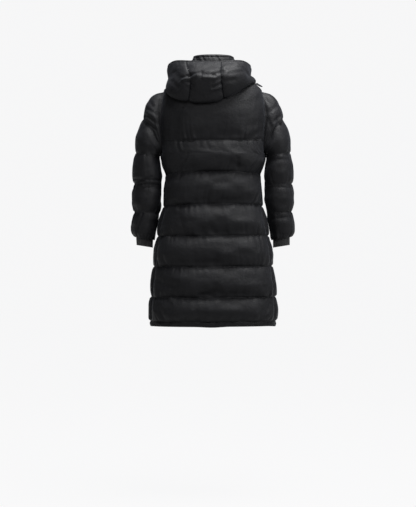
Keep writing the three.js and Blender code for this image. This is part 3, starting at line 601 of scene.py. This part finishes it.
def sleeve_path(turn, v, outside):
    """A cubic from the armhole to the second seam's ring, and rings from there to the hem."""
    wall = SEAM_WALL if outside else 0
    seam = mix(SLEEVE_HEAD, SLEEVE_UNDER, smooth(40, 125, around(turn)))
    k = np.where(v < 1, seam * v, mix(seam, 1, v - 1))[..., None]
    start, out, into = armhole(turn)
    under = smooth(85, 165, around(turn))[..., None]
    beside = smooth(0, 90, around(turn))
    leave = np.stack([
        mix(*HEAD_OUT, beside), 0.025 * np.sin(np.radians(turn)), -mix(*HEAD_DROP, beside)
    ], axis=-1) * (1 - under)
    leave = leave + into * (0 if outside else UNDER_INTO) * under
    leave = leave + out * UNDER_OUT[0 if outside else 1] * under
    arrive = np.concatenate([0.02 * (1 - under), under * 0, -mix(*HEAD_MEET, under)], axis=-1)
    to = sleeve_ring(turn, np.full_like(v, 2), wall)
    head = hermite(start + out * wall, to, leave, arrive, k)
    return np.where((v >= 2)[..., None], sleeve_ring(turn, np.maximum(v, 2), wall), head)


def sleeve_share(v):
    """How far down its channel a point of the sleeve is, from 0 to 1."""
    return np.minimum(1, v - np.minimum(SLEEVE_CHANNELS - 1, np.floor(v + 1e-9)))


def sleeve_puff(turn, v):
    """A sine raised to a power, held down beside the body and where the first seam runs out."""
    share = sleeve_share(v)
    turn = around(turn)
    beside = 0.25 + 0.75 * (1 - smooth(100, 165, turn))
    head = np.where(v < 1, (1 - smooth(70, 118, turn)) * smooth(-0.15, 0.45, v), 1)
    pit = np.where(v < 2, 1 - 0.9 * smooth(120, 165, turn) * (1 - smooth(1.2, 2, v)), 1)
    return np.maximum(0, np.sin(np.pi * share**1.1)) ** 0.65 * beside * head * pit


def sleeve(node, side, table, seed):
    """A tube of cloth; the right one is the left one's form with its x turned over."""
    v = np.linspace(SLEEVE_CHANNELS, 0, 211)[:, None]
    turn = np.linspace(0, 360, 110, endpoint=False)[None, :]
    turn, v = np.broadcast_arrays(turn, v)
    inner = sleeve_path(turn, v, False)
    base = sleeve_path(turn, v, True)
    inside_ends = np.clip(v, 0.02, SLEEVE_CHANNELS - 0.02)
    out = -facing(lambda a, b: sleeve_path(a, b, True), turn, inside_ends, 2, 0.02)
    puff = sleeve_puff(turn, v)
    girth = np.radians(turn) * SLEEVE_RADIUS + 0.2
    length = v * SLEEVE_CHANNEL_HEIGHT
    top = (1 - smooth(20, 100, around(turn))) * (1 - smooth(0.5, 1.1, v))
    lift = (SLEEVE_CREST - SEAM_WALL) * puff * (1 + HEAD_FULLNESS * top)
    fade = smooth(0, 0.2, puff)
    run, share = girth + 0.5 * np.floor(v), sleeve_share(v)
    lift += SLEEVE_PUCKERS * gathers(run, share, SLEEVE_CHANNEL_HEIGHT, seed) * fade
    lift += SLEEVE_LUMPS * mottle(girth, length, 0.045, 0.024, seed + 30) * fade
    flipped = base * np.array([side, 1, 1])
    lift -= dents(flipped, table) * fade * smooth(-0.01, 0.02, base[..., 1])
    in_front = fade * (base[..., 1] < 0)
    lift -= FRONT_CREASES * dents(flipped + [0, 0, 0.012], table) * in_front
    outer = base + out * np.maximum(lift, 0)[..., None]
    cloth = (girth, length)
    if side < 0:
        mirrored = (part[:, ::-1] * np.array([-1, 1, 1]) for part in (outer, inner, out))
        outer, inner, out = mirrored
        cloth = tuple(part[:, ::-1] for part in cloth)
    piece = make_wall(f"{node}_quilted", outer, inner, cloth, closed=True)
    finish_padded(piece, node)
    stitches(node, v[::-1], (2, 3, 4), outer[::-1], out[::-1], closed=True)


sleeve("sleeve_left", 1, LEFT_CREASES, 301)
sleeve("sleeve_right", -1, RIGHT_CREASES, 401)

# Inner cuffs: a tube of black rib knit inside each sleeve's hem, which it closes round the
# wrist. It is knitted to size and sewn to the sleeve's inner cloth.

CUFF_RIBS = 32
CUFF_RIB_DEPTH = 0.0012
CUFF_WALL = 0.0022
CUFF_LENGTH = 0.034
CUFF_INSIDE = 0.004
CUFF_INSET = 0.0017
CUFF_TAPER = 0.0008
CUFF_SLACK = 0.0008
CUFF_RADIUS = 0.036


def knit_cloth():
    """Matt rib knit: small stitch loops in a column along each rib."""
    made, skin = new_finish("rib_knit", 0.9)
    tree = made.node_tree
    skin.inputs["Base Color"].default_value = (0.006, 0.006, 0.0072, 1)
    skin.inputs["Sheen Weight"].default_value = 0.3
    surface = None
    for direction, scale in (("X", 260), ("Y", 190)):
        surface = bump(tree, weave(tree, direction, scale, 1.2), 0.5, 0.0005, surface)
    tree.links.new(surface, skin.inputs["Normal"])
    return made


knit = knit_cloth()


def cuff(node, side, seed):
    """A ring carried down from the sleeve's end, with a cosine for each rib."""
    x, y, z, across, deep, slope = SLEEVE[-1, 1:]
    turn = np.linspace(0, 360, CUFF_RIBS * 8, endpoint=False)[None, :]
    drop = np.linspace(CUFF_LENGTH - CUFF_INSIDE, -CUFF_INSIDE, 20)[:, None]
    turn, drop = np.broadcast_arrays(turn, drop)
    taper = CUFF_INSET + CUFF_TAPER * smooth(0, CUFF_LENGTH, drop)
    rib = CUFF_RIB_DEPTH * (0.5 - 0.5 * np.cos(np.radians(turn * CUFF_RIBS)))
    wave = ripple(np.radians(turn) * (CUFF_RADIUS - 0.002), 0.02, seed)
    slack = CUFF_SLACK * wave * smooth(0.004, 0.03, drop)

    def ring(inset):
        """The sleeve end's ellipse, drawn in and dropped."""
        wide = (across - inset) * np.cos(np.radians(turn))
        long = (deep - inset) * np.sin(np.radians(turn))
        made = np.stack([x + wide, y + long, z + slope * wide - drop], axis=-1)
        return made * np.array([side, 1, 1])

    outer, inner = ring(taper + rib + slack), ring(taper + CUFF_RIB_DEPTH + CUFF_WALL + slack)
    if side < 0:
        outer, inner = outer[:, ::-1], inner[:, ::-1]
    cloth = (np.radians(turn) * CUFF_RADIUS, drop)
    piece = make_wall(f"{node}_knit", outer, inner, cloth, closed=True)
    piece.data.materials.append(knit)
    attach(piece, "coat")
    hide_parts(node)


cuff("cuff_left", 1, 501)
cuff("cuff_right", -1, 502)

# Stand collar: a padded band of the same cloth, sewn to the neck and open at the front, where
# the zip runs up to its top edge.

COLLAR_PUFF = 0.006
COLLAR_BOW = 0.003
COLLAR_SEAM = 0.0009
COLLAR_HEIGHT = 0.08
COLLAR_PUCKERS = 0.8
COLLAR_STITCHING = 0.86
COLLAR_TOP = np.array([72, 81, 55, 82, -70, 28]) * 0.001


def collar_inner(angle, w):
    """Straight from the neck edge, w 0, to the top ring, w 1, bowed out between."""
    low = body_inner(angle, np.zeros_like(angle)) + np.array([0, 0, COLLAR_SEAM])
    high = on_ring(np.broadcast_to(COLLAR_TOP, angle.shape + (6,)), angle)
    point = mix(low, high, w[..., None])
    bow = COLLAR_BOW * np.sin(np.pi * w)
    point[..., 0] *= 1 + bow / COLLAR_TOP[0]
    point[..., 1] *= 1 + bow / -COLLAR_TOP[4]
    return point


def collar_facing(angle, w):
    """Its own normal, turned to the body's near the neck seam."""
    own = -facing(collar_inner, angle, np.clip(w, 0.03, 0.97), 0.5, 0.02)
    body = body_facing(angle, np.zeros_like(angle))
    return unit(mix(own, body, 1 - smooth(0, 0.22, w)[..., None]))


def collar():
    """The band's wall, with a stitched line near its top and small puckers at both seams."""
    edge = float(zip_edge(np.array(0.0))) - np.degrees(SEWN_GAP / 2 / BODY[0, 3])
    w = np.linspace(1, 0, 60)[:, None]
    angle = np.linspace(-edge, edge, 240)[None, :]
    angle, w = np.broadcast_arrays(angle, w)
    inner = collar_inner(angle, w)
    ends = np.minimum(1, (edge - np.abs(angle)) / 12)
    filled = COLLAR_PUFF * np.sqrt(np.sin(np.pi * w) + 1e-9) * smooth(-0.2, 1, ends)
    run, down = run_lengths(inner)
    filled += COLLAR_PUCKERS * gathers(run, w, COLLAR_HEIGHT, 601) * smooth(0, 1, ends)
    filled -= 0.0022 * np.exp(-(((w - COLLAR_STITCHING) / 0.03) ** 2)) * ends
    outer = inner + collar_facing(angle, w) * (SEAM_WALL + np.maximum(filled, -0.001))[..., None]
    piece = make_wall("collar_quilted", outer, inner, (run, down))
    finish_padded(piece, "collar")


collar()

# Hood: a centre panel and two side panels, thinly padded, lying on the shoulders as an open
# pouch. It is sewn into the neck seam, sags at the back and is drawn towards the left.

HOOD_END = 156
HOOD_WALL = 0.007
HOOD_PUFF = 0.008
HOOD_LIFT = 0.004
HOOD_SEAT = 0.00095
HOOD_SEAM_LEFT = (31.5, 22.5)
HOOD_SEAM_RIGHT = (-8.5, -8.5)
HOOD_GAP = 0.176
HOOD_HANGING = 0.6
HOOD_PUFFED = 0.58
HOOD_PUCKER = 0.0022
HOOD_LUMPS = 0.0022
RIM_PUCKER = 0.0013
HOOD_FULLEST = np.array([166, 141, 180, 130]) * 0.001
HOOD_RIM = np.array([175, 146, 124, 110]) * 0.001

# Columns: angle, fold in channels, height of the fullest ring and of the rim, reach.
HOOD = np.array([
    [-156, 0.15, -0.046, -0.018, 0.7],
    [-120, 0.24, -0.026, 0.005, 0.92],
    [-90, 0.24, -0.002, 0.032, 1],
    [-65, 0.24, -0.002, 0.044, 1],
    [-42, 0.27, -0.008, 0.05, 1],
    [-20, 0.34, -0.016, 0.046, 1],
    [0, 0.42, -0.022, 0.043, 1],
    [25, 0.44, -0.024, 0.046, 1],
    [50, 0.41, -0.016, 0.05, 1],
    [72, 0.3, -0.006, 0.043, 1],
    [92, 0.24, -0.002, 0.032, 1],
    [120, 0.24, -0.026, 0.008, 0.92],
    [156, 0.15, -0.046, -0.018, 0.7],
])

# Creases as seen from behind, in the same columns as the body's dents.
HOOD_CREASES = np.array([
    [112, -20, 82, -14, 4, 6], [94, -15, 44, -5, 5, 6], [40, -14, -4, -16, 4, 7],
    [112, -28, 60, -18, -4, 7], [36, -24, -4, -26, -4, 6], [0, -14, -34, 0, 4, 6],
    [94, -36, 72, -50, 4, 6], [96, -56, 76, -64, 3, 6], [4, -40, -30, -26, 4, 6],
    [2, -58, -30, -46, 5, 5], [6, -66, -30, -58, -3, 5], [-4, -74, -34, -64, 4, 5],
    [22, -88, -30, -76, 3, 7], [70, -78, 40, -88, 3, 8], [-40, -36, -80, -28, 3, 8],
    [-50, 12, -96, 20, 3, 7], [-60, -8, -110, 6, 3, 8], [140, 6, 120, -26, 3, 9],
    [150, -30, 128, -56, 3, 8], [86, 20, 40, 24, -2, 14], [-110, 20, -130, -6, 4, 6],
]) * 0.001


def hood_ring(sizes, angle, height, reach):
    """A ring round the neck, drawn towards the neck edge by the reach."""
    left, right, back, front = sizes
    zero = np.zeros_like(angle)
    side = np.where(angle > 0, left, right)
    ring = np.stack([side, zero, zero + back, zero, zero - front, zero], axis=-1)
    neck = on_ring(np.broadcast_to(BODY[0, 1:], angle.shape + (6,)), angle)
    point = mix(neck, on_ring(ring, angle), reach[..., None])
    point[..., 2] = height
    return point


def over_yoke(angle, t, lift):
    """The yoke's outer face without its pinched seams, moved out by the lift."""
    thick = body_thickness(angle, t, 4 * PINCH)
    return body_inner(angle, t) + body_facing(angle, t) * (thick + lift)[..., None]


def through(points, share):
    """The centripetal curve through four points: cubic pieces timed by root distance."""
    first, last = 2 * points[0] - points[1], 2 * points[-1] - points[-2]
    knots = [first, *points, last]
    piece = np.minimum(2, np.floor(share * 3)).astype(int)
    k = (share * 3 - piece)[..., None]
    made = np.zeros_like(points[0] * k)
    for i in range(3):
        a, b, c, d = knots[i:i + 4]
        times = [np.linalg.norm(q - p, axis=-1, keepdims=True) ** 0.5
                 for p, q in ((a, b), (b, c), (c, d))]
        t0, t1, t2 = (np.maximum(time, 1e-6) for time in times)
        leave = ((b - a) / t0 - (c - a) / (t0 + t1) + (c - b) / t1) * t1
        arrive = ((c - b) / t1 - (d - b) / (t1 + t2) + (d - c) / t2) * t1
        made = np.where((piece == i)[..., None], hermite(b, c, leave, arrive, k), made)
    return made


def hood_face(angle, row):
    """From the rim, row 0, down to the fold and back up along the yoke to the neck, row 1."""
    angle, row = np.broadcast_arrays(np.asarray(angle, float), np.asarray(row, float))
    fold, fullest_z, rim_z, reach = np.moveaxis(along(HOOD, angle), -1, 0)
    rim = hood_ring(HOOD_RIM, angle, rim_z, reach)
    fullest = hood_ring(HOOD_FULLEST, angle, fullest_z, reach)
    under = over_yoke(angle, fold, HOOD_LIFT)
    bottom = over_yoke(angle, fold + 0.05, mix(0.005, 0.016, reach * fold * 2))
    hanging = through([rim, fullest, bottom, under], np.clip(row / HOOD_HANGING, 0, 1))
    k = np.clip((row - HOOD_HANGING) / (1 - HOOD_HANGING), 0, 1)
    lying = over_yoke(angle, mix(fold, 0.04, k), mix(HOOD_LIFT, HOOD_SEAT, smooth(0.7, 1, k)))
    return np.where((row > HOOD_HANGING)[..., None], lying, hanging)


def hood_facing(angle, row):
    """The hood's outward normal."""
    return facing(hood_face, angle, np.clip(row, 0.015, 0.985), 1, 0.012)


def hood_seam(angles, side):
    """A seam's angle at a row: from its place at the rim to its place at the fold."""
    rim, fold = angles
    return lambda row: mix(rim, fold, smooth(0.02, 0.38, row)) + side * HOOD_GAP


def hood_panel(node, low, high, columns, seed):
    """A panel of the hood: puffed between its seams, creased, with puckers beside the seams."""
    row = np.linspace(0, 1, 140)[:, None]
    low, high = low(row), high(row)
    angle = mix(low, high, np.linspace(0, 1, columns)[None, :])
    angle, row = np.broadcast_arrays(angle, row)
    face, out = hood_face(angle, row), hood_facing(angle, row)
    inner = face - out * mix(HOOD_WALL, SEAM_WALL, smooth(0.5, 1, row))[..., None]
    ends = [np.linalg.norm(face - hood_face(edge + 0 * angle, row), axis=-1)
            for edge in (low, high)]
    from_edge = np.minimum(*ends)
    shown = np.sin(np.pi * np.minimum(1, row / HOOD_PUFFED))
    shown = np.where(row < HOOD_PUFFED, np.maximum(shown, 0) ** 0.5, 0)
    pinched = 1 - np.exp(-from_edge / PINCH)
    puff = HOOD_PUFF * shown * pinched
    run, down = run_lengths(face)
    pucker = ripple(down, 0.008, seed) + 0.8 * ripple(down, 0.018, seed + 1)
    puff += HOOD_PUCKER * pucker * beside_seam(from_edge, 0.013) * shown
    puff += HOOD_LUMPS * mottle(run, down, 0.05, 0.024, seed + 2) * shown * pinched
    rim = ripple(run, 0.007, seed + 3) + 0.7 * ripple(run, 0.016, seed + 4)
    puff += RIM_PUCKER * rim * beside_seam(down, 0.012)
    puff -= dents(face, HOOD_CREASES) * shown * smooth(0.03, 0.09, face[..., 1])
    outer = face + out * puff[..., None]
    piece = make_wall(f"{node}_padded", outer, inner, (run, down))
    finish_padded(piece, node)


hood_right_edge = hood_seam(HOOD_SEAM_RIGHT, -1)
hood_left_edge = hood_seam(HOOD_SEAM_LEFT, 1)
hood_panel("hood_right", lambda row: -HOOD_END + 0 * row, hood_right_edge, 140, 701)
hood_panel("hood_centre", hood_seam(HOOD_SEAM_RIGHT, 1), hood_seam(HOOD_SEAM_LEFT, -1), 90, 711)
hood_panel("hood_left", hood_left_edge, lambda row: HOOD_END + 0 * row, 140, 721)

# Hood binding: one strip of the same cloth turned over the hood's rim and stitched down.

EDGE_BAND = 0.009
EDGE_SEAM = 0.0001


def tube_mesh(name, sections):
    """A bar through sections of the same number of points, closed by a fan at each end."""
    stations, count = sections.shape[:2]
    ids = np.arange(stations * count).reshape(stations, count)
    sides = quads(ids, True)
    triangles = [sides[:, [0, 1, 2]], sides[:, [0, 2, 3]]]
    for ring, centre in ((ids[0][::-1], ids.size), (ids[-1], ids.size + 1)):
        triangles.append(np.stack([ring, np.roll(ring, -1), np.full_like(ring, centre)], axis=-1))
    run, down = run_lengths(sections)
    cloth = np.stack([down.ravel(), run.ravel()], axis=-1)
    points = np.concatenate([sections.reshape(-1, 3), sections[[0, -1]].mean(axis=1)])
    cloth = np.concatenate([cloth, cloth[[0, -1]]])
    return make_mesh(name, points, np.concatenate(triangles), cloth)


def hood_binding():
    """A rounded section carried along the rim, gathered a little by its stitches."""
    angle = np.linspace(-HOOD_END, HOOD_END, 500)
    zero = np.zeros_like(angle)
    face, out = hood_face(angle, zero), hood_facing(angle, zero)
    up = unit(face - hood_face(angle, zero + 0.02))
    run = np.cumsum(np.linalg.norm(np.diff(face, axis=0, prepend=face[:1]), axis=-1))
    swell = 1 + 0.12 * ripple(run, 0.009, 801) + 0.1 * ripple(run, 0.03, 802)
    turn = np.linspace(0, 2 * np.pi, 16, endpoint=False)
    depth = -HOOD_WALL / 2 + (HOOD_WALL / 2) * np.cos(turn)[None, :] * swell[:, None]
    half = (EDGE_BAND - EDGE_SEAM) / 2
    rise = EDGE_SEAM + half + half * np.sin(turn)[None, :] * np.minimum(swell, 1)[:, None]
    sections = face[:, None] + out[:, None] * depth[..., None] + up[:, None] * rise[..., None]
    piece = tube_mesh("hood_binding", sections)
    finish_padded(piece, "hood_edge")


hood_binding()

# Shoulder tab: a small flat tab of doubled cloth that sticks out from under the hood over the
# right shoulder.

TAB_ANGLE = -80
TAB_START = 0.335
TAB_END = 0.415
TAB_WALL = 0.0035
TAB_TILT = 0.006

# At the tab's root and its tip: half its width in degrees, and its height over the yoke.
TAB_HALF = (9, 5)
TAB_LIFT = (0.00105, 0.006)


def shoulder_tab():
    """A rounded flat section carried down the shoulder, lifting towards its end."""
    k = np.linspace(0, 1, 40)[:, None]
    turn = np.linspace(0, 2 * np.pi, 24, endpoint=False)[None, :]
    half = mix(*TAB_HALF, k) * np.minimum(1, np.sqrt((1.001 - k) / 0.12))
    angle = TAB_ANGLE + half * np.sign(np.cos(turn)) * np.abs(np.cos(turn)) ** 0.5
    tilt = TAB_TILT * (1 - k) * (0.5 - 0.5 * np.cos(turn))
    lift = mix(*TAB_LIFT, k**2) + tilt + TAB_WALL * (0.5 + 0.5 * np.sin(turn))
    t = np.broadcast_to(mix(TAB_START, TAB_END, k), angle.shape)
    piece = tube_mesh("shoulder_tab", over_yoke(angle, t, lift)[:, ::-1])
    finish_padded(piece, "hood_tab")


shoulder_tab()

# Front zip: two woven tapes sewn to the front edges, and a chain of moulded teeth that lock
# between them from the collar's top edge to just above the hem. It is closed.

TAPE_OVER = 0.0001
TAPE_LOW = 0.0008
TAPE_HIGH = 0.0021
TOOTH_PITCH = 0.0017
TOOTH_REACH = 0.0029
TOOTH_BEHIND = -0.0007
TOOTH_BEVEL = 0.0006
TOOTH_SHARE = 0.44
CHAIN_BOTTOM = 0.0012
CHAIN_TOP = 0.0044
TAPE_SHARES = (0.005, 1)
TAPE_WAVE = 0.0004
WORN_LIGHTER = 1.6
WORN_ROUGHER = 0.25


def zip_stations(steps):
    """Points down the zip evenly spaced, with the way out of the coat and the half width."""
    w, t = np.linspace(0.97, 0.05, 60), np.linspace(0.07, 6.9, 400)
    collar_half = collar_inner(zip_edge(np.array(0.0)) + 0 * w, w)[:, 0]
    point = np.concatenate([collar_inner(180 + 0 * w, w), body_inner(180 + 0 * t, t)])
    out = np.concatenate([collar_facing(180 + 0 * w, w), body_facing(180 + 0 * t, t)])
    half = np.concatenate([collar_half, ZIP_HALF + 0 * t]) + TAPE_OVER
    run = np.concatenate([[0], np.cumsum(np.linalg.norm(np.diff(point, axis=0), axis=-1))])
    at = np.linspace(0, run[-1], steps)
    rows = np.concatenate([point, out, half[:, None]], axis=-1)
    rows = np.stack([np.interp(at, run, column) for column in rows.T], axis=-1)
    return rows[:, :3], unit(rows[:, 3:6]), rows[:, 6], at


def tape_cloth():
    """Black woven tape with fine diagonal twill lines."""
    made, skin = new_finish("zip_tape", 0.75)
    tree = made.node_tree
    skin.inputs["Base Color"].default_value = (0.008, 0.008, 0.009, 1)
    skin.inputs["Sheen Weight"].default_value = 0.2
    surface = bump(tree, weave(tree, "DIAGONAL", 420, 0), 0.5, 0.0003)
    tree.links.new(surface, skin.inputs["Normal"])
    return made


tape = tape_cloth()


def zip_tape(name, side):
    """Half the zip's width as a thin wall from the teeth out to the front's edge."""
    point, out, half, run = zip_stations(420)
    share = np.linspace(*TAPE_SHARES, 9)[None, :]
    across = share * half[:, None] * side
    sag = np.minimum(TAPE_WAVE * ripple(run, 0.02, 901 + side)[:, None] * share**2, 0)
    face = point[:, None] + across[..., None] * np.array([1, 0, 0])
    high, low = (face + out[:, None] * (lift + sag)[..., None] for lift in (TAPE_HIGH, TAPE_LOW))
    cloth = (across, np.broadcast_to(run[:, None], across.shape))
    grids = [part if side < 0 else part[:, ::-1] for part in (high, low)]
    cloth = tuple(part if side < 0 else part[:, ::-1] for part in cloth)
    piece = make_wall(name, *grids, cloth)
    piece.data.materials.append(tape)
    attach(piece, "coat")
    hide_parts("zip")


def metal_finish(name, colour, rough):
    """Dark plated metal, its gloss broken by fine wear."""
    made, skin = new_finish(name, rough)
    tree = made.node_tree
    skin.inputs["Metallic"].default_value = 1
    wear = noise(tree, 420, 5)
    tone = blend(tree, wear, (*colour, 1), (*[c * WORN_LIGHTER for c in colour], 1))
    gloss = spread(tree, wear, rough, rough + WORN_ROUGHER, 0, 1)
    tree.links.new(tone, skin.inputs["Base Color"])
    tree.links.new(gloss, skin.inputs["Roughness"])
    tree.links.new(bump(tree, wear, 0.15, 0.0002), skin.inputs["Normal"])
    return made


def zip_teeth():
    """One bevelled block for each tooth, from either tape by turns, as one joined mesh."""
    length = zip_stations(2)[3][-1]
    point, out = zip_stations(int(length / TOOTH_PITCH))[:2]
    down = unit(np.gradient(point, axis=0))
    side = np.where(np.arange(len(point)) % 2 == 0, 1.0, -1.0)
    low, high, behind, half_tooth = CHAIN_BOTTOM, CHAIN_TOP, TOOTH_BEHIND, TOOTH_PITCH * TOOTH_SHARE
    levels = ((low, 0.75), (low + TOOTH_BEVEL, 1), (high - TOOTH_BEVEL, 1), (high, 0.72))
    plan = ((behind, -1), (behind, 1), (TOOTH_REACH, 1), (TOOTH_REACH, -1))
    corners = np.array([
        ((near + 0.0011) * shrink, down_by * half_tooth * shrink, depth)
        for depth, shrink in levels for near, down_by in plan
    ])
    axis_x = np.array([1.0, 0, 0])
    points = (
        point[:, None] + side[:, None, None] * corners[:, 0][None, :, None] * axis_x
        + down[:, None] * corners[:, 1][None, :, None] + out[:, None] * corners[:, 2][None, :, None]
    )
    rings = np.arange(16).reshape(4, 4)
    block = np.concatenate([quads(rings, True), rings[:1, ::-1], rings[-1:]])
    faces = np.arange(len(point))[:, None, None] * 16 + block
    flipped = np.where(side[:, None, None] > 0, faces, faces[:, :, ::-1])
    points = points.reshape(-1, 3)
    piece = make_mesh("zip_teeth", points, flipped.reshape(-1, 4), points[:, [0, 2]])
    piece.data.polygons.foreach_set("use_smooth", np.zeros(len(piece.data.polygons), bool))
    piece.data.materials.append(metal_finish("zip_teeth", (0.03, 0.03, 0.033), 0.35))
    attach(piece, "coat")
    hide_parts("zip")


zip_teeth()
zip_tape("zip_tape_left", 1)
zip_tape("zip_tape_right", -1)

# Zip slider and pull tab: die-cast and dark plated. The slider sits on the chain near the
# collar's top, and the tab hangs from the pin between its lugs.

plating = metal_finish("zip_plating", (0.045, 0.045, 0.05), 0.22)
for node in ("zip_slider", "zip_pull"):
    metal = frame["nodes"][node]
    if not metal.data.materials:
        metal.data.materials.append(plating)
    for held in metal.material_slots:
        held.material = plating

# Stage: a pale floor well below the hem, a pale surround, one large soft light above the coat,
# a weaker one to its right and one high on the camera's side. The camera looks level at its back.

FLOOR_Z = -1.614
CAMERA_AT = (0.0194, 4.7, -0.679)
CAMERA_LENS = 86.2
FLOOR_HALF = 14
FLOOR_GLOW = 0.95
SURROUND_SHOWN = 0.955
SURROUND_LIT = 0.08
PALE = (0.97, 0.97, 0.975, 1)
LAMPS_AIM = (0, 0, -0.45)

# Name, place, width in metres and power in watts.
LAMPS = (
    ("key", (-0.5, 0.48, 2.4), 1.5, 200),
    ("side", (-2.6, 2.0, 0.9), 1.2, 60),
    ("front", (0.3, 3.4, 2.2), 1.4, 55),
)


def aimed(place, target):
    """The turn that points a lamp's -Z from its place to the target."""
    way = np.array(target) - np.array(place)
    tilt = np.arctan2(np.hypot(way[0], way[1]), -way[2])
    return (tilt, 0, np.arctan2(way[1], way[0]) - np.pi / 2)


def stage():
    """The floor is one large square, and the surround lights the coat less than it shows."""
    mesh = bpy.data.meshes.new("floor")
    signs = ((-1, -1), (1, -1), (1, 1), (-1, 1))
    corners = [(x * FLOOR_HALF, y * FLOOR_HALF, FLOOR_Z) for x, y in signs]
    mesh.from_pydata(corners, [], [(0, 1, 2, 3)])
    floor = bpy.data.objects.new("floor", mesh)
    bpy.context.scene.collection.objects.link(floor)
    paint, skin = new_finish("floor_paint", 0.9)
    skin.inputs["Base Color"].default_value = (0.012, 0.012, 0.012, 1)
    skin.inputs["Emission Color"].default_value = PALE
    skin.inputs["Emission Strength"].default_value = FLOOR_GLOW
    skin.inputs["Specular IOR Level"].default_value = 0.1
    mesh.materials.append(paint)
    floor.visible_diffuse = False

    world = bpy.data.worlds.new("surround")
    world.use_nodes = True
    tree = world.node_tree
    shown = tree.nodes["Background"]
    shown.inputs["Color"].default_value = PALE
    shown.inputs["Strength"].default_value = SURROUND_SHOWN
    lit = tree.nodes.new("ShaderNodeBackground")
    lit.inputs["Color"].default_value = (0.95, 0.97, 1, 1)
    lit.inputs["Strength"].default_value = SURROUND_LIT
    path = tree.nodes.new("ShaderNodeLightPath")
    either = tree.nodes.new("ShaderNodeMixShader")
    tree.links.new(path.outputs["Is Camera Ray"], either.inputs["Fac"])
    tree.links.new(lit.outputs["Background"], either.inputs[1])
    tree.links.new(shown.outputs["Background"], either.inputs[2])
    tree.links.new(either.outputs["Shader"], tree.nodes["World Output"].inputs["Surface"])
    bpy.context.scene.world = world
    bpy.context.scene.view_settings.view_transform = "Standard"

    for name, place, width, power in LAMPS:
        lamp = bpy.data.lights.new(name, "AREA")
        lamp.size = width
        lamp.energy = power
        holder = bpy.data.objects.new(name, lamp)
        holder.location = place
        holder.visible_camera = False
        holder.rotation_euler = aimed(place, LAMPS_AIM)
        bpy.context.scene.collection.objects.link(holder)

    eye = bpy.data.cameras.new("camera")
    eye.lens = CAMERA_LENS
    eye.sensor_width = 36
    camera = bpy.data.objects.new("camera", eye)
    camera.location = CAMERA_AT
    camera.rotation_euler = (np.pi / 2, 0, np.pi)
    bpy.context.scene.collection.objects.link(camera)
    bpy.context.scene.camera = camera


stage()
